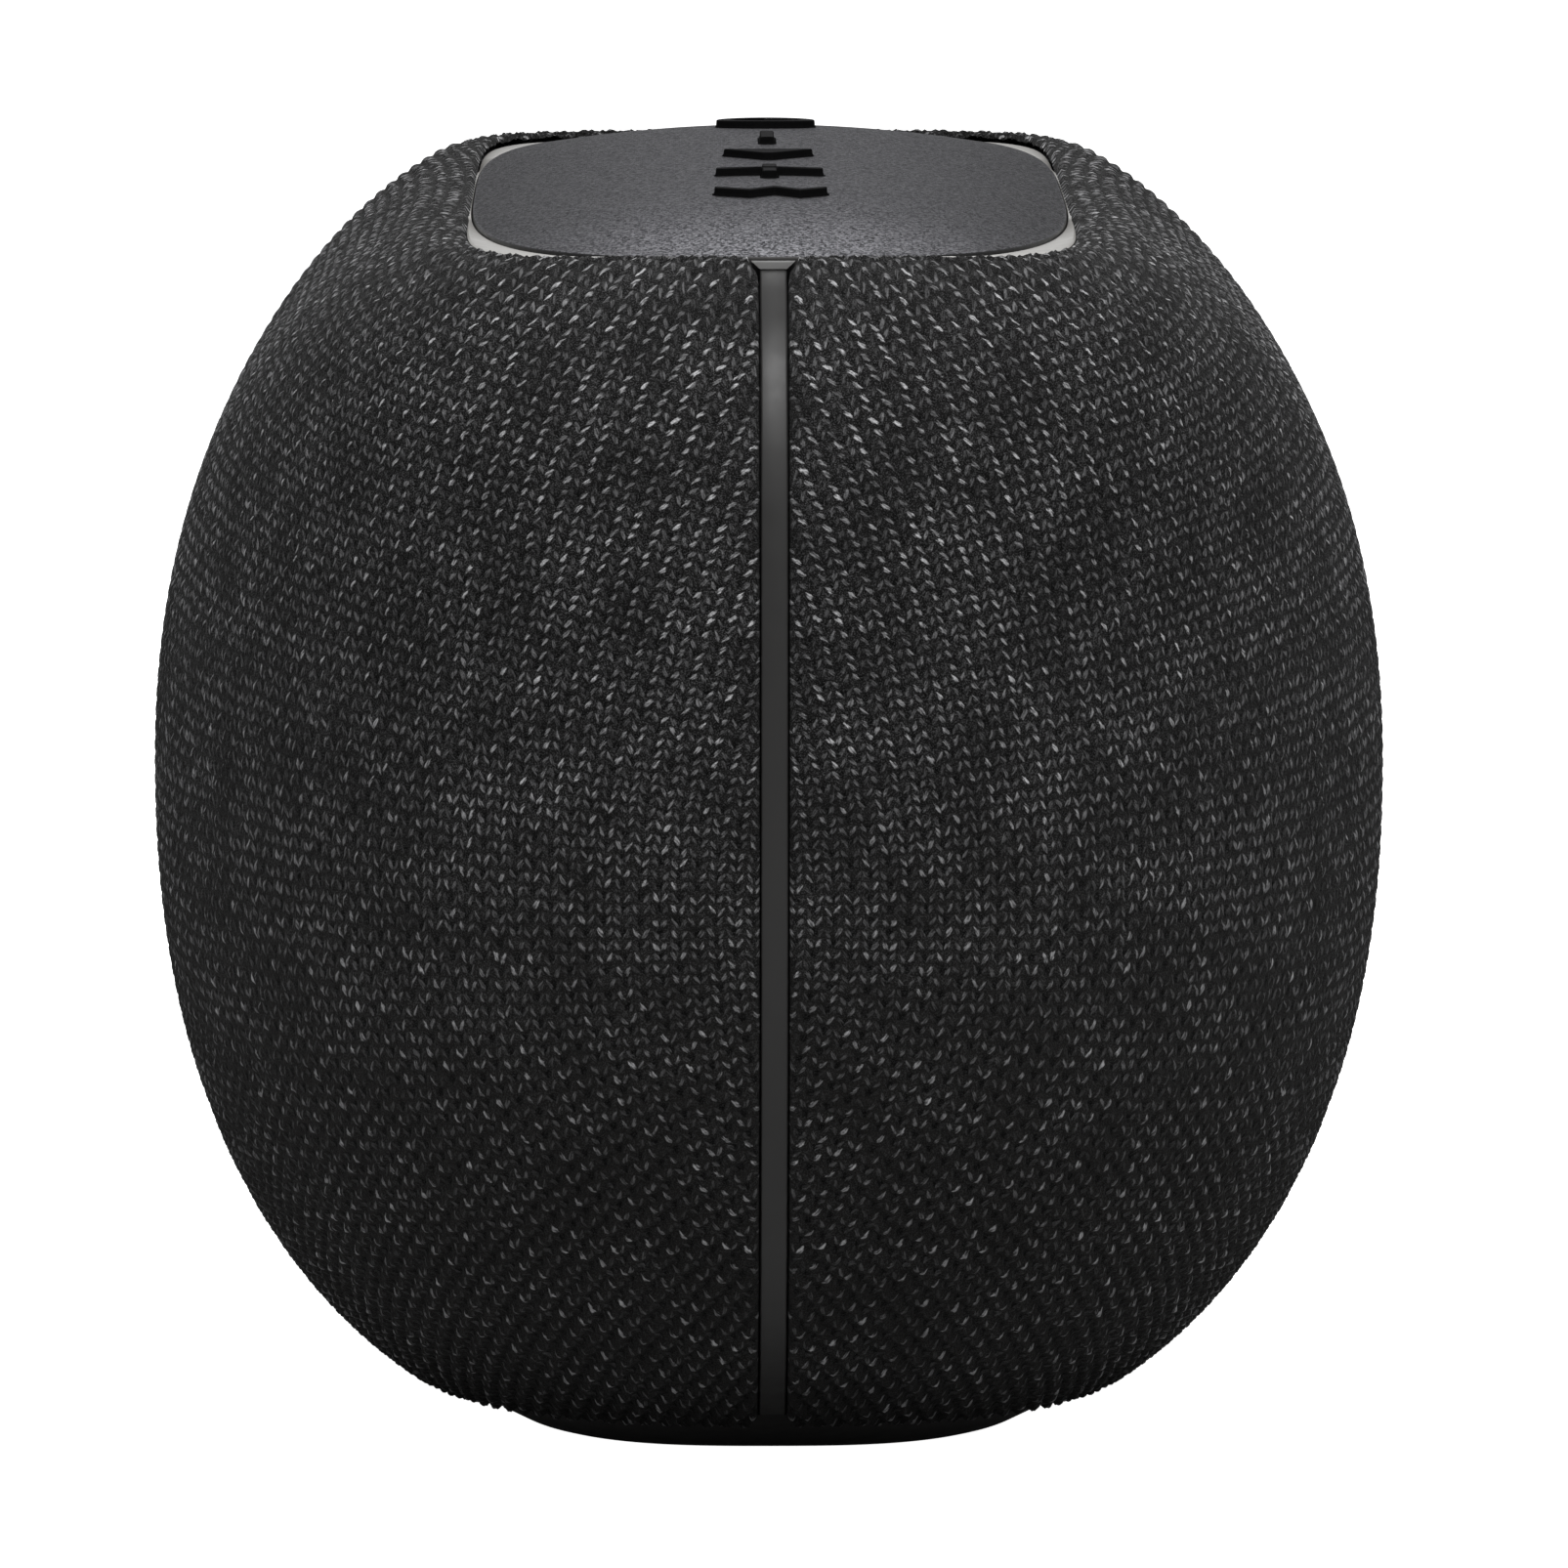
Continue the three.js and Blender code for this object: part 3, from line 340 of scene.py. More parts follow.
def profile_heights(spacing):
    """Heights from the hem to the rim, evenly spaced along the wall."""
    z = np.linspace(HEM_Z, RIM_Z, 2001)
    sides = np.array([ring_sides(height)[:2] for height in z])
    steps = np.sqrt(np.diff(z) ** 2 + (np.diff(sides, axis=0) ** 2).sum(axis=1) / 2)
    length = np.concatenate([[0], np.cumsum(steps)])
    return np.interp(np.linspace(0, length[-1], round(length[-1] / spacing)), length, z)


def end_profile(z):
    """How far the cabinet reaches along Y at heights, and the wall's outward (y, z) direction."""
    reach = np.array([ring_sides(height)[1] for height in z])
    slope = np.gradient(reach, z)
    size = np.hypot(1, slope)
    return reach, 1 / size, -slope / size


# ---- The knit ----

def stitch_field(share, z, way):
    """Which wale and course lie at a share of the way between the seams and at a height.

    A course is level at the middle of a side and dips towards the widest ring at the seams, as a
    flat piece of cloth does when it is drawn round an end. Wales run across the courses."""
    to_seam = np.abs(2 * share - 1)
    levelling = 1 - to_seam ** DIP_POWER
    # Each round comes closer to the height at which the course through a point meets the seam.
    rounds = 40
    at_seam = z.copy()
    for _ in range(rounds):
        slope = SLOPE_MOST * np.tanh((at_seam - SLOPE_Z) / SLOPE_REACH)
        at_seam = z - slope * (way / 2) / DIP_POWER * levelling
    # The courses are counted upwards in a table that starts well below the hem.
    table = np.linspace(-80, 220, 1201)
    apart = np.clip(np.abs(table - SLOPE_Z) / COURSE_SPREAD, 0, 1)
    pitch = COURSE_MIDDLE + (COURSE_ENDS - COURSE_MIDDLE) * apart ** 2
    count = np.concatenate([[0], np.cumsum(np.diff(table) / pitch[1:])])
    course = np.interp(at_seam, table, count)
    run_out = SLOPE_MOST * SLOPE_REACH * np.log(np.cosh((at_seam - SLOPE_Z) / SLOPE_REACH))
    wale = np.sign(share - 0.5) * to_seam * (HALF_TURN - run_out) / WALE
    return wale + MIDDLE_WALE, course


def knit_relief(wale, course, z):
    """The height of the cloth: a raised V at every other stitch, with holes between."""
    column, row = np.floor(wale), np.floor(course)
    across = np.abs(wale - column - 0.5) * WALE
    up = (course - row - 0.5) * COURSE_MIDDLE
    raised = (column + row) % 2 == 0
    beside = across - LEG_OFFSET * WALE
    along = beside * math.sin(LEG_LEAN) + up * math.cos(LEG_LEAN)
    aside = beside * math.cos(LEG_LEAN) - up * math.sin(LEG_LEAN)
    from_leg = np.hypot(aside / (LEG_HALF[0] + LEG_FOLD), along / LEG_HALF[1])
    leg = smoothstep(1.25, 0.3, from_leg)
    hole = smoothstep(0.6, 0.1, np.hypot(across, up))
    stitches = RELIEF * np.where(raised, leg, SUNK_LEG * leg - HOLE_DEPTH * hole)
    slant = np.sign(MIDDLE_WALE - wale)
    ribs = -np.cos(np.pi * (wale + slant * course)) * smoothstep(RIBS_Z[1], RIBS_Z[0], z)
    return stitches + RIB_RELIEF * ribs


def edge_drop(distance, radius):
    """How far a rolled edge falls away at a distance in from it."""
    short = np.clip(radius - distance, 0, radius)
    return radius - np.sqrt(radius ** 2 - short ** 2)


def wall_points(shares, heights):
    """The cabinet's wall on its +X side, run on over the rim and under the hem to the openings.

    Returns the points, the height of each row as the cloth goes on, and the rows' lengths."""
    foot_top = [half + flare + HEM_GAP for half, flare in zip(FOOT_HALF, FOOT_FLARE)]
    rows, run, ways = [], [], []

    def add_row(outline, z, cloth_z):
        x, y, way = outline
        rows.append(np.stack([x, y, np.full_like(x, z)], axis=-1))
        run.append(cloth_z)
        ways.append(way)

    def between(outer, inner, share):
        return [out + (into - out) * share for out, into in zip(outer, inner)]

    hem = half_outline(*ring_sides(HEM_Z), shares)
    under = half_outline(*foot_top, FOOT_POWER, shares)
    for share in np.linspace(1, 0, HEM_ROWS + 1)[:-1]:
        add_row(between(hem, under, share), HEM_Z, HEM_Z - HEM_RUN * share)
    for z in heights:
        add_row(half_outline(*ring_sides(z), shares), z, z)
    rim = half_outline(*ring_sides(RIM_Z), shares)
    opening = half_outline(*OPENING_HALF, OPENING_POWER, shares)
    for share in np.linspace(0, 1, RIM_ROWS + 1)[1:]:
        add_row(between(rim, opening, share), RIM_Z, RIM_Z + RIM_RUN * share)
    return np.array(rows), np.array(run), np.array(ways)


def soften_rows(points, middle, reach):
    """Rounds the fold at a row by averaging the rows near it."""
    rows = np.arange(len(points))
    width = np.clip(reach - np.abs(rows - middle), 0, reach).astype(int)
    softened = points.copy()
    for row in np.nonzero(width)[0]:
        low = max(row - width[row], 0)
        high = min(row + width[row], len(points) - 1)
        each = min(row - low, high - row)
        softened[row] = points[row - each:row + each + 1].mean(axis=0)
    return softened


def in_port(points):
    """Which points lie inside the hole for the port, seen along the port."""
    along_port = np.array([math.sin(PORT_TILT), 0, math.cos(PORT_TILT)])
    off = points - np.array([PORT_REACH, 0, PORT_Z])
    high = off @ along_port
    wide = np.maximum(np.abs(off[..., 1]) - PORT_FLAT, 0)
    return (points[..., 0] > 0) & (np.hypot(wide, high) < PORT_RADIUS)


def edge_falls(base, share, way):
    """How far the cloth drops at its seams, at its openings and beside the tabs."""
    steps = np.linalg.norm(np.diff(base, axis=0), axis=-1)
    climbed = np.concatenate([np.zeros((1, base.shape[1])), np.cumsum(steps, axis=0)])
    from_seam = np.minimum(share, 1 - share) * way
    from_opening = np.minimum(climbed, climbed[-1] - climbed)
    falls = edge_drop(from_seam, SEAM_ROLL) + edge_drop(from_opening, OPENING_ROLL)
    beside_tab = base[..., 0] - tab_half_width(base[..., 2])
    near_tab = smoothstep(0.35, -0.1, beside_tab) * smoothstep(TAB["low"] - 0.5, TAB["low"], base[..., 2])
    return falls + TAB_ROOM * near_tab


def seam_skirts(points, inward, rows, columns):
    """Strips of cloth that carry the two seam edges into the gap beside the strips.

    Returns all the points, the new faces and the edge point that each new point continues."""
    index = np.arange(rows * columns).reshape(rows, columns)
    continued, quads = [], []
    for edge, forward in ((index[:, 0], False), (index[:, -1], True)):
        deep = len(points) + np.arange(rows)
        points = np.concatenate([points, points[edge] + inward[edge]])
        skirt = np.stack([edge[:-1], deep[:-1], deep[1:], edge[1:]], axis=1)
        quads.append(skirt if forward else skirt[:, ::-1])
        continued.append(edge)
    return points, quads, np.concatenate(continued)


def fabric_panel(name, side, material):
    """One side's knitted cover, from seam to seam and from hem to rim."""
    even = np.linspace(0, 1, CLOTH_COLUMNS)
    beside_seam = np.array([0.0006, 0.0012])  # two more columns that round the seam's roll
    shares = np.sort(np.concatenate([even, beside_seam, 1 - beside_seam]))
    heights = profile_heights(CLOTH_STEP)
    base, run, ways = wall_points(shares, heights)
    base = soften_rows(base, HEM_ROWS, HEM_FOLD)
    base = soften_rows(base, HEM_ROWS + len(heights) - 1, RIM_FOLD)
    normals = np.cross(np.gradient(base, axis=1), np.gradient(base, axis=0))
    normals /= np.linalg.norm(normals, axis=-1, keepdims=True)

    share = np.broadcast_to(shares, base.shape[:2])
    way = ways[:, None]
    wale, course = stitch_field(share, np.broadcast_to(run[:, None], share.shape), way)
    fading = smoothstep(0, SEAM_ROLL, np.minimum(share, 1 - share) * way)
    height = knit_relief(wale, course, run[:, None]) * fading - edge_falls(base, share, way)
    points = (base + normals * height[..., None]).reshape(-1, 3)

    rows, columns = share.shape
    faces = grid_faces(rows, columns)
    if side > 0:
        faces = faces[~in_port(points[faces].mean(axis=1))]
    inward = (normals * -SKIRT).reshape(-1, 3)
    points, skirts, continued = seam_skirts(points, inward, rows, columns)
    wale = np.concatenate([wale.ravel(), wale.ravel()[continued]])
    course = np.concatenate([course.ravel(), course.ravel()[continued]])
    faces = np.concatenate([faces, *skirts])
    if side < 0:
        points = points * np.array([-1, 1, 1])
        faces = faces[:, ::-1]
    piece = mesh_piece(name, points, faces)
    store_stitches(piece, wale, course)
    piece.data.materials.append(material)
    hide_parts(name)


def store_stitches(piece, wale, course):
    """Keeps each point's wale and course for the knit's material, as texture coordinates."""
    stitches = piece.data.uv_layers.new(name="stitches")
    corners = np.empty(len(piece.data.loops), dtype=np.int32)
    piece.data.loops.foreach_get("vertex_index", corners)
    pairs = np.stack([wale[corners], course[corners]], axis=1)
    stitches.uv.foreach_set("vector", pairs.astype(np.float32).ravel())


# ---- The seam strips ----

def seam_strip(name, end, material):
    """A flat strip with eased edges that follows the cabinet's end, from the hem to behind the tab."""
    rows = 150
    z = np.linspace(HEM_Z + STRIP_LOW, TAB["low"] + 0.5, rows)
    reach, out_y, out_z = end_profile(z)
    section = [
        (-STRIP_HALF, STRIP_BACK),
        (-STRIP_HALF, STRIP_DEPTH + STRIP_EASED),
        (-STRIP_HALF + 0.3 * STRIP_EASED, STRIP_DEPTH + 0.3 * STRIP_EASED),
        (-STRIP_HALF + STRIP_EASED, STRIP_DEPTH),
    ]
    section += [(-x, depth) for x, depth in reversed(section)]
    rings = []
    for height, far, ny, nz in zip(z, reach, out_y, out_z):
        rings.append([(x, end * (far - depth * ny), height - depth * nz) for x, depth in section])
    points, faces = loft(rings)
    if end > 0:
        faces = [face[::-1] for face in faces]
    piece = mesh_piece(name, points, faces)
    sharpen(piece, 50)
    piece.data.materials.append(material)
    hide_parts(name)


# ---- The top plate and its bezel ----

def plate_top(x, y):
    """The height of the plate's upper face."""
    along = np.minimum(np.abs(y) / PLATE_HALF[1], 1)
    half_here = np.maximum(PLATE_HALF[0] * (1 - along ** PLATE_POWER) ** (1 / PLATE_POWER), 1e-6)
    across = np.minimum(np.abs(x) / half_here, 1)
    return PLATE_EDGE_Z + CROWN * (1 - across ** 2) * (1 - along ** CROWN_LENGTHWISE)


def top_plate(material, edge_material):
    """The domed plate with its thin dark edge, holed for the keys.

    Its outline runs from the upper face out over the edge and back under it."""
    angles = circle_angles(288)
    around_x, around_y = plan_outline(*PLATE_HALF, PLATE_POWER, angles)
    shares = 1 - (1 - np.linspace(0.02, 1, 46)) ** 1.3
    rings = []
    for share in shares:
        x, y = around_x * share, around_y * share
        z = plate_top(x, y) if share < 1 else np.full_like(x, PLATE_EDGE_Z)
        rings.append(np.stack([x, y, z], axis=1))
    for out, down in ((0.10, 0.06), (0.16, 0.18), (0.16, 1.5)):
        grown = plan_outline(PLATE_HALF[0] + out, PLATE_HALF[1] + out, PLATE_POWER, angles)
        rings.append(np.stack([*grown, np.full(len(angles), PLATE_EDGE_Z - down)], axis=1))
    for share in shares[::-4]:
        x, y = around_x * share, around_y * share
        rings.append(np.stack([x, y, plate_top(x, y) - PLATE_THICK], axis=1))
    points, faces = loft(rings[::-1])
    plate = mesh_piece("plate", points, faces)
    for name in KEY_Y:
        cutter = key_cutter(name)
        cut = plate.modifiers.new("key_hole", "BOOLEAN")
        cut.operation = "DIFFERENCE"
        cut.solver = "MANIFOLD"
        cut.object = cutter
        with bpy.context.temp_override(object=plate, active_object=plate):
            bpy.ops.object.modifier_apply(modifier=cut.name)
        bpy.data.objects.remove(cutter)
    shade_plate(plate)
    plate.data.materials.clear()
    plate.data.materials.append(material)
    plate.data.materials.append(edge_material)
    for face in plate.data.polygons:
        face.material_index = 0 if face.normal.z > UPWARD else 1
    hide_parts("top_plate")


def shade_plate(plate):
    """Gives the upper face the dome's own normals, so that the key holes leave no mark on it."""
    step = 0.01
    normals = []
    for face in plate.data.polygons:
        for corner in face.vertices:
            if face.normal.z < UPWARD:
                normals.append(face.normal)
                continue
            x, y = (coordinate / MM for coordinate in plate.data.vertices[corner].co[:2])
            slope_x = (plate_top(x + step, y) - plate_top(x - step, y)) / (2 * step)
            slope_y = (plate_top(x, y + step) - plate_top(x, y - step)) / (2 * step)
            dome = Vector((-slope_x, -slope_y, 1)).normalized()
            normals.append(dome if dome.z > UPWARD else face.normal)
    plate.data.normals_split_custom_set([tuple(normal) for normal in normals])


def bezel(material, tab_and_shade_material):
    """The light ring between the plate and the fabric, a darker tab over each seam strip, and painted
    shade at its ends.
    """
    angles = circle_angles(360)
    inner_half = [half + BEZEL_GAP for half in PLATE_HALF]
    inner = np.array(plan_outline(*inner_half, PLATE_POWER, angles))
    outer = np.array(plan_outline(*OPENING_HALF, OPENING_POWER, angles))
    # A hair inside the opening in the cloth, and nowhere narrower than a thin line
    outer = np.maximum(np.abs(outer) - 0.05, np.abs(inner) * 1.012) * np.sign(outer)
    corner = smoothstep(0.5, 2.0, np.hypot(*(outer - inner)))
    # Shares of the way outwards, heights, and shares of the rise at the corners
    section = [
        (0, -2.5, 0),
        (0, -0.25, 0),
        (0.04, -0.07, 0),
        (0.12, 0, 0),
        (0.9, 0, 1),
        (1, -0.12, 1),
        (1, -2.8, 0),
    ]
    rings = []
    for share, rise, corner_rise in section:
        x, y = inner + (outer - inner) * share
        tilt = BEZEL_RISE * corner * -np.sign(y)
        rings.append(np.stack([x, y, BEZEL_TOP_Z + rise + corner_rise * tilt], axis=1))
    rings.append(rings[0])
    points, faces = loft(rings, cap_first=False, cap_last=False)
    points, faces = list(points), [face[::-1] for face in faces]
    for end in (-1, 1):
        add_tab(points, faces, end)
    piece = mesh_piece("bezel", points, faces)
    sharpen(piece, 40)
    piece.data.materials.append(material)
    piece.data.materials.append(tab_and_shade_material)
    # Painted shade: the ring's faces near the tabs take the tabs' dark colour.
    for face in piece.data.polygons:
        face.material_index = 1 if abs(face.center.x) < TAB_SHOULDER * MM else 0
    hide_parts("bezel_ring")


def tab_half_width(z):
    return np.interp(z, (TAB["low"], TAB["top"]), (TAB["narrow"], TAB["wide"]))


def add_tab(points, faces, end):
    """A tongue that narrows downwards, from the bezel to the cabinet's face."""
    heights = np.linspace(TAB["low"], TAB["top"], 6)
    reach, out_y, _ = end_profile(heights)
    first = len(points)
    for height, far, ny in zip(heights, reach, out_y):
        half = tab_half_width(height)
        face_y = end * (far - TAB_DEPTH / ny)
        back_y = end * TAB["back"]
        for x, y in ((-half, back_y), (-half, face_y), (half, face_y), (half, back_y)):
            points.append((x, y, height))
    quads = grid_faces(len(heights), 4, wrap=True) + first
    for quad in quads.tolist():
        faces.append(quad if end < 0 else quad[::-1])
    top = [first + 4 * (len(heights) - 1) + i for i in range(4)]
    faces.append(top if end < 0 else top[::-1])
    faces.append([first + i for i in range(4)][::-1] if end < 0 else [first + i for i in range(4)])


# ---- The keys ----

def key_outline(name):
    """A key's raised sign about its centre, anticlockwise."""
    half = KEY_STROKE / 2
    if name == "link":
        lower = [(x, y - half) for x, y in LINK_LINE]
        return lower + [(x, y + half) for x, y in reversed(LINK_LINE)]
    if name == "plus":
        wide, tall = PLUS_ARMS
        one_side = [(wide, -half), (wide, half), (half, half), (half, tall), (-half, tall), (-half, half)]
        return one_side + [(-x, -y) for x, y in one_side]
    if name == "play":
        return PLAY_CORNERS
    if name == "minus":
        return [(-half, -MINUS_ARM), (half, -MINUS_ARM), (half, MINUS_ARM), (-half, MINUS_ARM)]
    angles = circle_angles(96)
    return np.stack([RING_RADIUS * np.cos(angles), RING_RADIUS * np.sin(angles)], axis=1)


def placed_outline(name, grow):
    """A key's sign where it stands, grown on every side, with its corners rounded."""
    outline = outset(key_outline(name), grow) + np.array([0, KEY_Y[name]])
    return outline if name == "power" else rounded(outline, KEY_CORNER)


def key_cutter(name):
    """A tall prism a little larger than the key's sign."""
    outline = placed_outline(name, KEY_GAP)
    below, above = 110, 140
    rings = [np.column_stack([outline, np.full(len(outline), z)]) for z in (below, above)]
    return mesh_piece("cutter", *prism(rings))


def key_ring(outline, down):
    """A ring of a key's points, a little below the level of its upper face, which follows the dome."""
    z = plate_top(outline[:, 0], outline[:, 1]) + KEY_RISE - down
    return np.column_stack([outline, z])


def key_piece(name, material):
    """A sign that flares where it leaves the plate and is eased along its upper edge."""
    power = name == "power"
    # Each ring lies a distance out from the sign, and above the plate or below the key's face.
    rings = []
    for out, up in ((0.14, -1.0), (0.14, 0.0), (0.07, 0.12), (0.02, 0.3)):
        flat = placed_outline(name, out)
        z = plate_top(flat[:, 0], flat[:, 1]) + up
        rings.append(np.column_stack([flat, z]))
    for out, down in ((0.0, 0.14), (-0.03, 0.05), (-0.11, 0.0)):
        rings.append(key_ring(placed_outline(name, out), down))
    if power:
        for out, down in ((0.11, 0.0), (0.0, 0.05), (-0.05, KEY_RISE - 0.1)):
            rings.append(key_ring(placed_outline(name, out - KEY_STROKE), down))
    points, faces = prism(rings)
    if power:
        points, faces = add_bar(points, faces)
    piece = mesh_piece(f"{name}_key", points, faces, body=f"{name}_key")
    sharpen(piece, 45)
    piece.data.materials.append(material)
    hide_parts(f"{name}_button")


def add_bar(points, faces):
    """The short bar inside the power sign's ring."""
    half = KEY_STROKE / 2
    start, end = POWER_BAR
    corners = [(start, -half), (end, -half), (end, half), (start, half)]
    rings = []
    for out, down in ((0.0, KEY_RISE), (0.0, 0.12), (-0.1, 0.0)):
        outline = rounded(outset(corners, out), KEY_CORNER) + np.array([0, KEY_Y["power"]])
        rings.append(key_ring(outline, down))
    more_points, more_faces = loft(rings)
    shifted = [[corner + len(points) for corner in face] for face in more_faces]
    return np.concatenate([points, more_points]), faces + shifted


# ---- The foot and the port ----

def foot(material):
    """The rubber foot: it leans in from the hem to a smaller face on the floor."""
    angles = circle_angles(240)
    # Shares of the flare, and heights
    profile = [
        (-0.6, 0.0),
        (-0.22, 0.0),
        (-0.1, 0.12),
        (0.03, 0.5),
        (0.3, 1.75),
        (0.68, 3.6),
        (0.9, 4.8),
        (1.0, 5.7),
        (0.97, 6.0),
        (0.6, 6.0),
    ]
    spreads, heights = zip(*profile)
    steps = np.linspace(0, len(profile) - 1, 46)
    corners = range(len(profile))
    rings = []
    for share, z in zip(np.interp(steps, corners, spreads), np.interp(steps, corners, heights)):
        half_x, half_y = (half + share * flare for half, flare in zip(FOOT_HALF, FOOT_FLARE))
        x, y = plan_outline(half_x, half_y, FOOT_POWER, angles)
        rings.append(np.stack([x, y, np.full_like(x, z)], axis=1))
    points, faces = loft(rings)
    piece = mesh_piece("foot", points, faces)
    sharpen(piece, 60)
    piece.data.materials.append(material)
    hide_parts("rubber_foot")


def port_grommet(material):
    """The rubber surround of the charging port, with a lip that lies on the fabric."""
    angles = circle_angles(96)
    # Heights of the oval, and distances out of the wall
    section = [
        (3.9, -6.5),
        (3.9, -0.2),
        (4.2, 0.25),
        (5.0, 0.45),
        (8.6, 0.55),
        (9.6, 0.4),
        (10.0, 0.0),
        (10.0, -1.4),
        (8.0, -1.6),
        (8.0, -6.5),
    ]
    rings = []
    for high, out in section:
        radius = high / 2
        x = np.cos(angles) * radius + np.sign(np.cos(angles)) * SURROUND_FLAT
        rings.append([(out, wide, tall) for wide, tall in zip(x, np.sin(angles) * radius)])
    rings.append(rings[0])
    points, faces = loft(rings, cap_first=False, cap_last=False)
    out, wide, tall = points.T
    x = PORT_REACH + out * math.cos(PORT_TILT) + tall * math.sin(PORT_TILT)
    z = PORT_Z - out * math.sin(PORT_TILT) + tall * math.cos(PORT_TILT)
    piece = mesh_piece("port_surround", np.stack([x, wide, z], axis=1), faces)
    sharpen(piece, 60)
    piece.data.materials.append(material)
    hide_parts("port_bezel")


# ---- Materials ----

def new_material(name):
    material = bpy.data.materials.new(name)
    material.use_nodes = True
    tree = material.node_tree
    return material, tree, tree.nodes["Principled BSDF"]


def add_node(tree, kind, inputs=None, **settings):
    """A shader node with its settings, and with inputs set to values or joined to outputs."""
    made = tree.nodes.new(kind)
    for setting, value in settings.items():
        setattr(made, setting, value)
    for key, value in (inputs or {}).items():
        if isinstance(value, bpy.types.NodeSocket):
            tree.links.new(value, made.inputs[key])
        else:
            made.inputs[key].default_value = value
    return made


def maths(tree, operation, *values):
    inputs = dict(enumerate(values))
    return add_node(tree, "ShaderNodeMath", inputs, operation=operation).outputs[0]


def remap(tree, value, low, high, to_low=0.0, to_high=1.0):
    """value from low..high smoothly to to_low..to_high."""
    inputs = {"Value": value, "From Min": low, "From Max": high, "To Min": to_low, "To Max": to_high}
    return add_node(tree, "ShaderNodeMapRange", inputs, interpolation_type="SMOOTHSTEP").outputs[0]


def noise(tree, size_mm, detail=3.0, vector=None):
    """Noise whose features are about a size across."""
    place = vector or add_node(tree, "ShaderNodeTexCoord").outputs["Object"]
    inputs = {"Vector": place, "Scale": 1 / (size_mm * MM), "Detail": detail}
    return add_node(tree, "ShaderNodeTexNoise", inputs).outputs["Fac"]


def mixed(tree, share, first, second):
    """A blend of two colours, each either three channels or a node's output."""
    inputs = {0: share}
    for slot, colour in ((6, first), (7, second)):
        inputs[slot] = colour if isinstance(colour, bpy.types.NodeSocket) else (*colour, 1)
    return add_node(tree, "ShaderNodeMix", inputs, data_type="RGBA").outputs[2]


def bump(tree, shader, height, depth_mm):
    inputs = {"Height": height, "Strength": 1.0, "Distance": depth_mm * MM}
    made = add_node(tree, "ShaderNodeBump", inputs)
    tree.links.new(made.outputs[0], shader.inputs["Normal"])


def plain_finish(name, colour, roughness, grain=0.6, depth=0.01, metallic=0.0, vary=0.15):
    """A moulded, cast or plated surface: fine grain, and colour and gloss that vary a little."""
    material, tree, shader = new_material(name)
    shader.inputs["Metallic"].default_value = metallic
    patches = noise(tree, 9.0)
    darker = [channel * (1 - vary) for channel in colour]
    lighter = [min(channel * (1 + vary), 1) for channel in colour]
    tree.links.new(mixed(tree, patches, darker, lighter), shader.inputs["Base Color"])
    gloss = remap(tree, noise(tree, 3.0), 0.3, 0.7, roughness - 0.05, roughness + 0.05)
    tree.links.new(gloss, shader.inputs["Roughness"])
    bump(tree, shader, noise(tree, grain, 4.0), depth)
    return material


def stitch_place(tree):
    """Where a point lies in the knit and in its own stitch."""
    place = add_node(tree, "ShaderNodeUVMap", uv_map="stitches").outputs[0]
    split = add_node(tree, "ShaderNodeSeparateXYZ", {0: place})
    wale, course = split.outputs[0], split.outputs[1]
    column = maths(tree, "FLOOR", wale)
    row = maths(tree, "FLOOR", course)
    signed = maths(tree, "SUBTRACT", maths(tree, "FRACT", wale), 0.5)
    fraction = maths(tree, "FRACT", course)
    return SimpleNamespace(
        wale=wale,
        course=course,
        column=column,
        row=row,
        leg=maths(tree, "SIGN", signed),
        across=maths(tree, "MULTIPLY", maths(tree, "ABSOLUTE", signed), WALE),
        up=maths(tree, "MULTIPLY_ADD", fraction, COURSE_MIDDLE, -COURSE_MIDDLE / 2),
        hidden=maths(tree, "MODULO", maths(tree, "ADD", column, row), 2.0),
    )


def oval(tree, x, y, half_x=1.0, half_y=1.0):
    """The distance from the middle of an oval, as a share of the way to its edge."""
    wide = maths(tree, "POWER", maths(tree, "DIVIDE", x, half_x), 2.0)
    long = maths(tree, "POWER", maths(tree, "DIVIDE", y, half_y), 2.0)
    return maths(tree, "SQRT", maths(tree, "ADD", wide, long))


def stitch_leg(tree, stitch, dice):
    """Where a leg of the V shows, with frayed edges, and the streaks of the fibres along it."""
    rolls = add_node(tree, "ShaderNodeSeparateColor", {0: dice}).outputs
    stray_x = maths(tree, "MULTIPLY_ADD", rolls[0], LEG_STRAY, -LEG_OFFSET * WALE - LEG_STRAY / 2)
    stray_y = maths(tree, "MULTIPLY_ADD", rolls[1], LEG_STRAY, -LEG_STRAY / 2)
    beside = maths(tree, "ADD", stitch.across, stray_x)
    above = maths(tree, "ADD", stitch.up, stray_y)
    sine, cosine = math.sin(LEG_LEAN), math.cos(LEG_LEAN)
    along = maths(tree, "MULTIPLY_ADD", beside, sine, maths(tree, "MULTIPLY", above, cosine))
    aside = maths(tree, "MULTIPLY_ADD", beside, cosine, maths(tree, "MULTIPLY", above, -sine))

    drawn_out = maths(tree, "MULTIPLY", along, 0.3)
    strand = add_node(tree, "ShaderNodeCombineXYZ", {0: aside, 1: drawn_out}).outputs[0]
    own_strand = add_node(tree, "ShaderNodeVectorMath", {0: strand, 1: dice}, operation="ADD").outputs[0]
    inputs = {"Vector": own_strand, "Scale": 5.5, "Detail": 3.0}
    streaks = add_node(tree, "ShaderNodeTexNoise", inputs).outputs["Fac"]
    fibre = remap(tree, streaks, 0.35, 0.68)
    frayed = maths(tree, "MULTIPLY_ADD", fibre, -0.5, 0.25)
    from_leg = maths(tree, "ADD", oval(tree, aside, along, *LEG_HALF), frayed)
    return remap(tree, from_leg, 1.05, 0.55), fibre


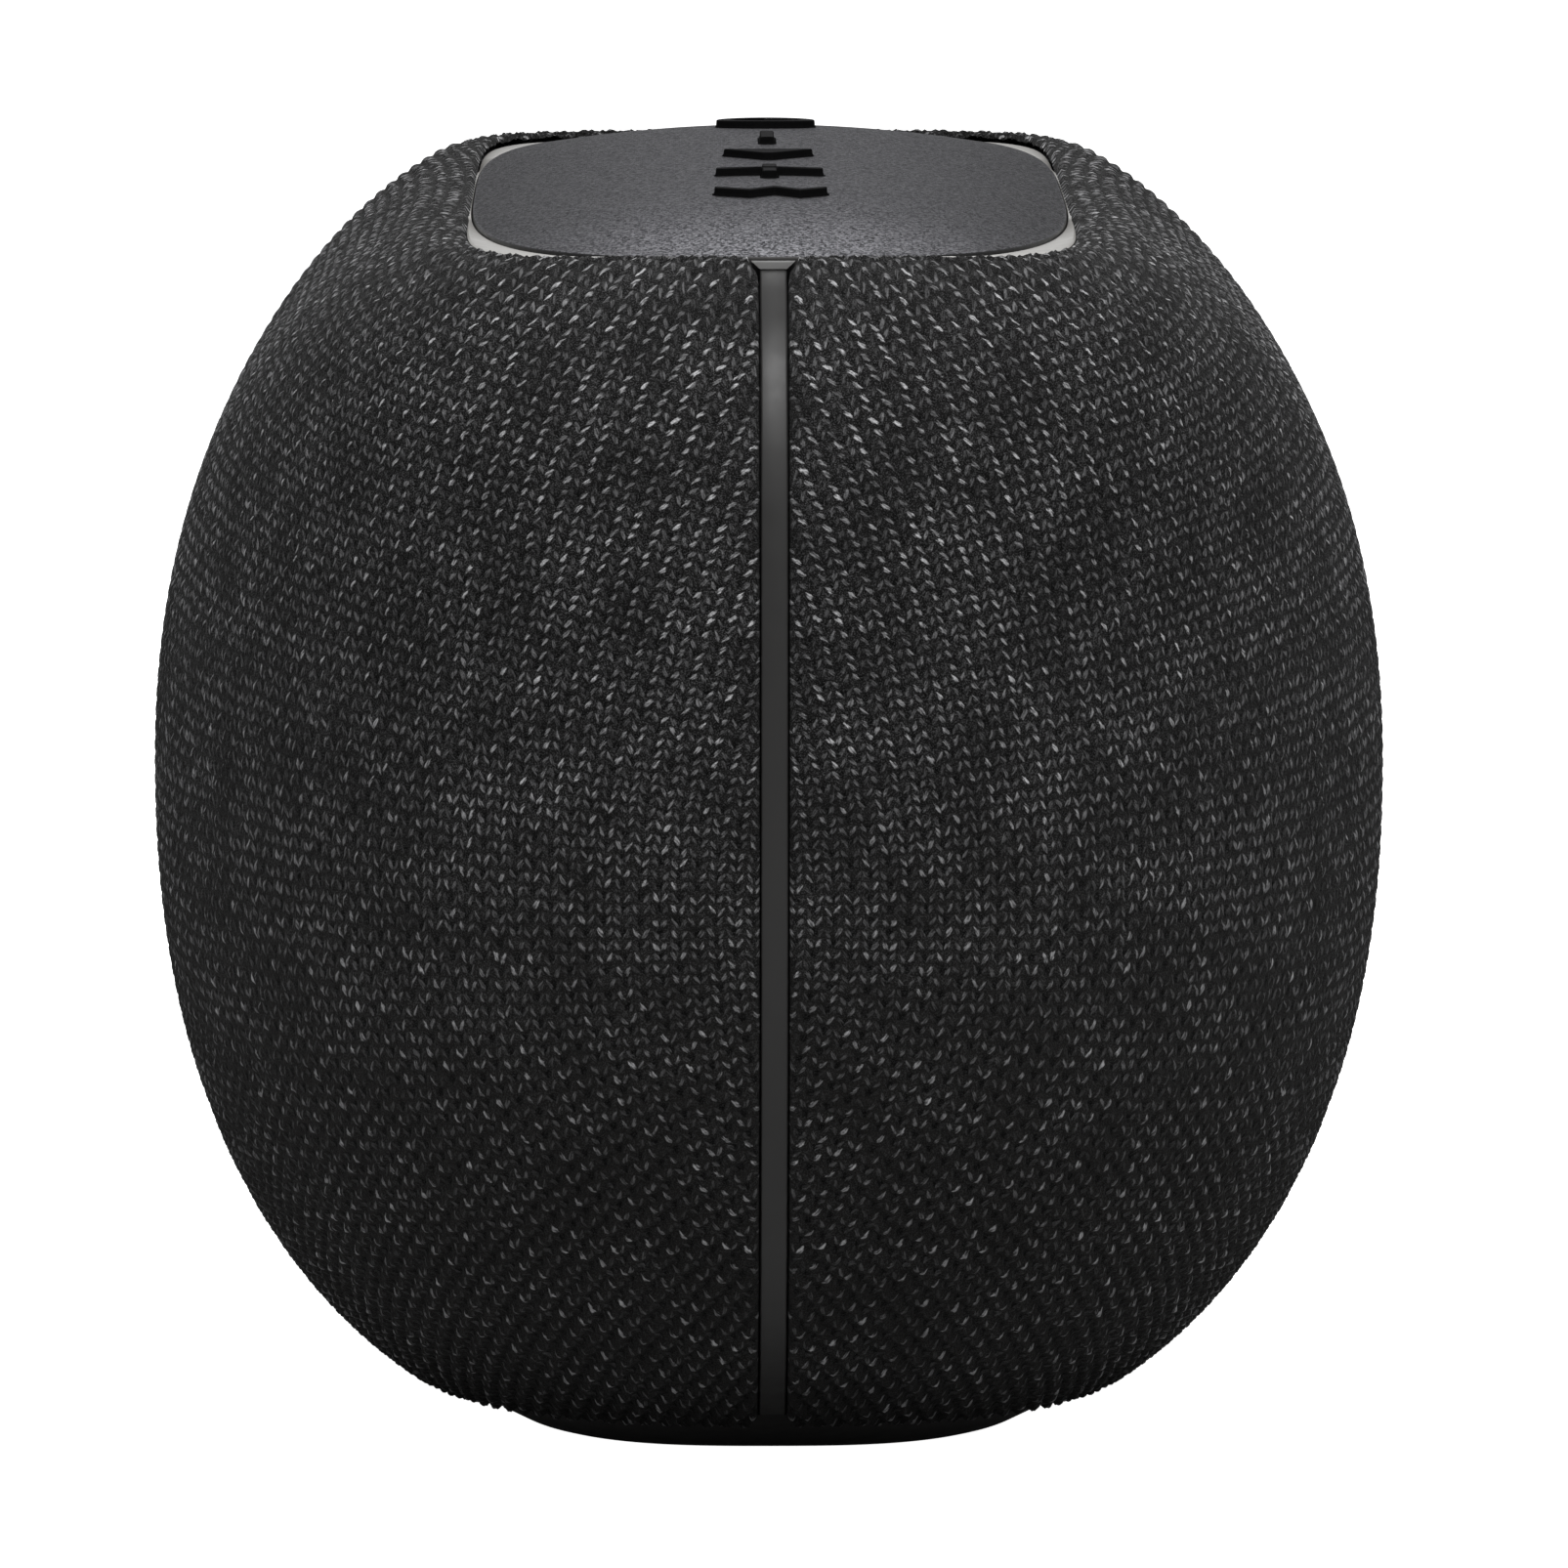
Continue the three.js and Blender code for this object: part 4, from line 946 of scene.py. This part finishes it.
def knit_shadow(tree, stitch, height):
    """How dark the ground is: in the holes, and in the valleys between the ribs near the hem."""
    near_middle = remap(tree, oval(tree, stitch.across, stitch.up), 0.5, 0.25)
    hole = maths(tree, "MULTIPLY", near_middle, stitch.hidden)
    slant = maths(tree, "SIGN", maths(tree, "SUBTRACT", MIDDLE_WALE, stitch.wale))
    diagonal = maths(tree, "MULTIPLY_ADD", stitch.course, slant, stitch.wale)
    wave = maths(tree, "COSINE", maths(tree, "MULTIPLY", diagonal, math.pi))
    valley = maths(tree, "MULTIPLY_ADD", wave, 0.5, 0.5)
    low_down = remap(tree, height, RIBS_Z[1] * MM, RIBS_Z[0] * MM)
    between_ribs = maths(tree, "MULTIPLY", maths(tree, "MULTIPLY", valley, low_down), 0.6)
    return maths(tree, "MAXIMUM", hole, between_ribs)


def knit_finish():
    """Melange yarn: a V at each stitch, each leg its own tone, over a very dark ground, with painted
    light and shade.
    """
    material, tree, shader = new_material("knit")
    shader.inputs["Roughness"].default_value = 0.85
    shader.inputs["Specular IOR Level"].default_value = 0.1
    shader.inputs["Sheen Weight"].default_value = 0.03
    shader.inputs["Sheen Roughness"].default_value = 0.5
    stitch = stitch_place(tree)
    cell = add_node(tree, "ShaderNodeCombineXYZ", {0: stitch.column, 1: stitch.row, 2: stitch.leg})
    dice = add_node(tree, "ShaderNodeTexWhiteNoise", {"Vector": cell.outputs[0]})
    leg, fibre = stitch_leg(tree, stitch, dice.outputs["Color"])
    fuzz = remap(tree, noise(tree, 0.16, 3.0), 0.45, 0.7)

    # Upper runs from -1 well below the widest ring to 1 well above it.
    solid_place = add_node(tree, "ShaderNodeTexCoord").outputs["Object"]
    height = add_node(tree, "ShaderNodeSeparateXYZ", {0: solid_place}).outputs[2]
    climb = maths(tree, "MULTIPLY_ADD", height, 1 / (MM * SLOPE_REACH), -SLOPE_Z / SLOPE_REACH)
    upper = maths(tree, "TANH", climb)

    # Painted highlight: a leg that lies more nearly level is painted lighter, as if it caught more of the
    # light from above. Above the widest ring that is the leg nearer a seam, and below it the other one.
    off_middle = maths(tree, "DIVIDE", maths(tree, "SUBTRACT", stitch.wale, MIDDLE_WALE), 50.0)
    off_middle = maths(tree, "MINIMUM", maths(tree, "MAXIMUM", off_middle, -1.0), 1.0)
    level = maths(tree, "MULTIPLY", maths(tree, "MULTIPLY", stitch.leg, off_middle), upper)
    painted_level_highlight = maths(tree, "MULTIPLY_ADD", level, 0.5, 0.8)

    bright = maths(tree, "POWER", dice.outputs["Value"], 1.3)
    patches = remap(tree, noise(tree, 8.0, 2.0), 0.3, 0.7, 0.65, 1.25)
    # Painted shade: the legs of the sunk stitches are painted darker, the more so low down.
    sunk_leg_painted_shade = maths(tree, "MULTIPLY", stitch.hidden, maths(tree, "MULTIPLY_ADD", upper, 0.35, -0.55))
    shown = maths(tree, "MULTIPLY", leg, maths(tree, "ADD", sunk_leg_painted_shade, 1.0))
    light = maths(tree, "MULTIPLY", maths(tree, "MULTIPLY_ADD", bright, 0.8, 0.2), shown)
    light = maths(tree, "MULTIPLY", light, maths(tree, "MULTIPLY_ADD", fibre, 0.85, 0.25))
    light = maths(tree, "MULTIPLY", light, painted_level_highlight)
    # Painted light from above: the fuzz and the legs are painted lighter high up and darker low down.
    light = maths(tree, "MULTIPLY_ADD", fuzz, maths(tree, "MULTIPLY_ADD", upper, 0.03, 0.1), light)
    light = maths(tree, "MULTIPLY", light, maths(tree, "MULTIPLY_ADD", upper, 0.2, 0.8))
    light = maths(tree, "MULTIPLY", light, patches)

    # Painted light and shade: the ground is painted lighter low down and darker high up.
    ground_painted_lighter_low, ground_painted_darker_high = (0.0140, 0.0135, 0.0130), (0.0080, 0.0078, 0.0078)
    ground = mixed(tree, remap(tree, upper, -1.0, 1.0), ground_painted_lighter_low, ground_painted_darker_high)
    ground = mixed(tree, knit_shadow(tree, stitch, height), ground, (0.003, 0.003, 0.003))
    yarn = mixed(tree, light, ground, (0.62, 0.62, 0.635))
    tree.links.new(yarn, shader.inputs["Base Color"])
    raised = maths(tree, "MULTIPLY_ADD", fibre, 0.4, leg)
    bump(tree, shader, maths(tree, "MULTIPLY_ADD", fuzz, 0.45, raised), 0.18)
    return material


def plate_finish():
    """Dark anodised metal with a fine sparkle."""
    material, tree, shader = new_material("plate")
    shader.inputs["Metallic"].default_value = 0.9
    shader.inputs["Specular Tint"].default_value = (0.35, 0.35, 0.36, 1)
    place = add_node(tree, "ShaderNodeTexCoord").outputs["Object"]
    inputs = {"Vector": place, "Scale": 1 / (0.22 * MM)}
    flakes = add_node(tree, "ShaderNodeTexVoronoi", inputs)
    flake = add_node(tree, "ShaderNodeSeparateColor", {0: flakes.outputs["Color"]}).outputs[0]
    colour = mixed(tree, flake, (0.03, 0.03, 0.031), (0.16, 0.16, 0.165))
    tree.links.new(colour, shader.inputs["Base Color"])
    tree.links.new(remap(tree, flake, 0, 1, 0.55, 0.32), shader.inputs["Roughness"])
    bump(tree, shader, flake, 0.012)
    return material


def key_finish():
    """Black rubber, a lighter grey on the faces that point up."""
    material, tree, shader = new_material("key")
    facing = add_node(tree, "ShaderNodeNewGeometry").outputs["True Normal"]
    upward = add_node(tree, "ShaderNodeSeparateXYZ", {0: facing}).outputs[2]
    # Faces that point up are given a lighter grey than the sides.
    facing_up = remap(tree, upward, 0.85, 0.97)
    grain = remap(tree, noise(tree, 0.25), 0.3, 0.7, 0.85, 1.15)
    colour = mixed(tree, facing_up, (0.004, 0.004, 0.0042), (0.018, 0.018, 0.019))
    shade = add_node(tree, "ShaderNodeMix", {0: 1.0, 6: colour}, data_type="RGBA", blend_type="MULTIPLY")
    tree.links.new(grain, shade.inputs[7])
    tree.links.new(shade.outputs[2], shader.inputs["Base Color"])
    shader.inputs["Roughness"].default_value = 0.9
    shader.inputs["Specular IOR Level"].default_value = 0.03
    bump(tree, shader, noise(tree, 0.3, 4.0), 0.006)
    return material


def striped_finish(name, first, second, pitch_mm, direction, roughness, metallic, depth):
    """Fine parallel lines, as on wound wire, woven cloth or brushed steel."""
    material, tree, shader = new_material(name)
    shader.inputs["Metallic"].default_value = metallic
    shader.inputs["Roughness"].default_value = roughness
    place = add_node(tree, "ShaderNodeTexCoord").outputs["Object"]
    inputs = {"Vector": place, "Scale": 0.314 / (pitch_mm * MM), "Distortion": 0.6, "Detail": 2.0}
    lines = add_node(tree, "ShaderNodeTexWave", inputs, bands_direction=direction).outputs["Fac"]
    tree.links.new(mixed(tree, lines, first, second), shader.inputs["Base Color"])
    bump(tree, shader, lines, depth)
    return material


def board_finish():
    """A green board with fine copper tracks under its mask."""
    material, tree, shader = new_material("board")
    shader.inputs["Coat Weight"].default_value = 0.4
    shader.inputs["Roughness"].default_value = 0.4
    place = add_node(tree, "ShaderNodeTexCoord").outputs["Object"]
    inputs = {"Vector": place, "Scale": 60.0, "Mortar Size": 0.06, "Row Height": 0.12, "Brick Width": 0.5}
    tracks = add_node(tree, "ShaderNodeTexBrick", inputs).outputs["Fac"]
    colour = mixed(tree, tracks, (0.008, 0.055, 0.022), (0.02, 0.12, 0.05))
    tree.links.new(colour, shader.inputs["Base Color"])
    bump(tree, shader, tracks, 0.03)
    return material


def floor_finish():
    """White card lit so evenly that the hub leaves hardly a shadow. It sends little light back up."""
    material, tree, shader = new_material("floor")
    seen = add_node(tree, "ShaderNodeLightPath").outputs["Is Camera Ray"]
    tree.links.new(mixed(tree, seen, (0.5, 0.5, 0.5), (0.9, 0.9, 0.9)), shader.inputs["Base Color"])
    shader.inputs["Roughness"].default_value = 0.9
    shader.inputs["Specular IOR Level"].default_value = 0.1
    shader.inputs["Emission Color"].default_value = (1, 1, 1, 1)
    tree.links.new(seen, shader.inputs["Emission Strength"])
    return material


def add_floor():
    half = 6.0
    mesh = bpy.data.meshes.new("floor")
    corners = [(-half, -half, 0), (half, -half, 0), (half, half, 0), (-half, half, 0)]
    mesh.from_pydata(corners, [], [(0, 1, 2, 3)])
    mesh.materials.append(floor_finish())
    floor = bpy.data.objects.new("floor", mesh)
    bpy.context.scene.collection.objects.link(floor)


# ---- Putting it together ----

add_camera()
light_studio()
add_floor()

finishes = {
    "knit": knit_finish(),
    "strip": plain_finish("strip", (0.0235, 0.023, 0.0225), 0.43, 0.25, 0.004, vary=0.05),
    "plate": plate_finish(),
    "bezel": plain_finish("bezel", (0.235, 0.228, 0.215), 0.45, 0.4, 0.003, vary=0.05),
    "key": key_finish(),
    "soft_rubber": plain_finish("soft_rubber", (0.032, 0.031, 0.031), 0.7, 0.4, 0.02),
    "housing_plastic": plain_finish("housing_plastic", (0.012, 0.012, 0.013), 0.6, 0.5, 0.03),
    "inner_plastic": plain_finish("inner_plastic", (0.035, 0.035, 0.038), 0.55, 0.8, 0.03),
    "board": board_finish(),
    "steel": striped_finish("steel", (0.45, 0.45, 0.46), (0.6, 0.6, 0.61), 0.3, "X", 0.35, 1.0, 0.004),
    "magnet": plain_finish("magnet", (0.035, 0.035, 0.04), 0.4, 0.7, 0.02, metallic=0.6),
    "copper": striped_finish("copper", (0.4, 0.14, 0.05), (0.75, 0.34, 0.16), 0.35, "X", 0.3, 1.0, 0.1),
    "cone": plain_finish("cone", (0.02, 0.02, 0.02), 0.8, 1.5, 0.08),
    "spider_cloth": striped_finish(
        "spider_cloth", (0.4, 0.22, 0.06), (0.6, 0.38, 0.14), 0.6, "DIAGONAL", 0.85, 0.0, 0.1
    ),
    "silk": striped_finish(
        "silk", (0.02, 0.02, 0.024), (0.06, 0.06, 0.07), 0.3, "DIAGONAL", 0.5, 0.0, 0.02
    ),
    "cell_wrap": plain_finish("cell_wrap", (0.03, 0.16, 0.38), 0.3, 2.0, 0.02),
}
for part in frame["record"]["subparts"]:
    node = frame["nodes"][part["node"]]
    node.data.materials.clear()
    node.data.materials.append(finishes[part["material_slot"]])

fabric_panel("fabric_front", -1, finishes["knit"])
fabric_panel("fabric_back", 1, finishes["knit"])
seam_strip("seam_strip_left", -1, finishes["strip"])
seam_strip("seam_strip_right", 1, finishes["strip"])
top_plate(finishes["plate"], plain_finish("plate_edge", (0.01, 0.01, 0.011), 0.35, 0.4, 0.002))
bezel(finishes["bezel"], plain_finish("bezel_tab_and_shade", (0.042, 0.041, 0.04), 0.6, 0.4, 0.003, vary=0.05))
for key_name in KEY_Y:
    key_piece(key_name, finishes["key"])
foot(finishes["soft_rubber"])
port_grommet(finishes["soft_rubber"])
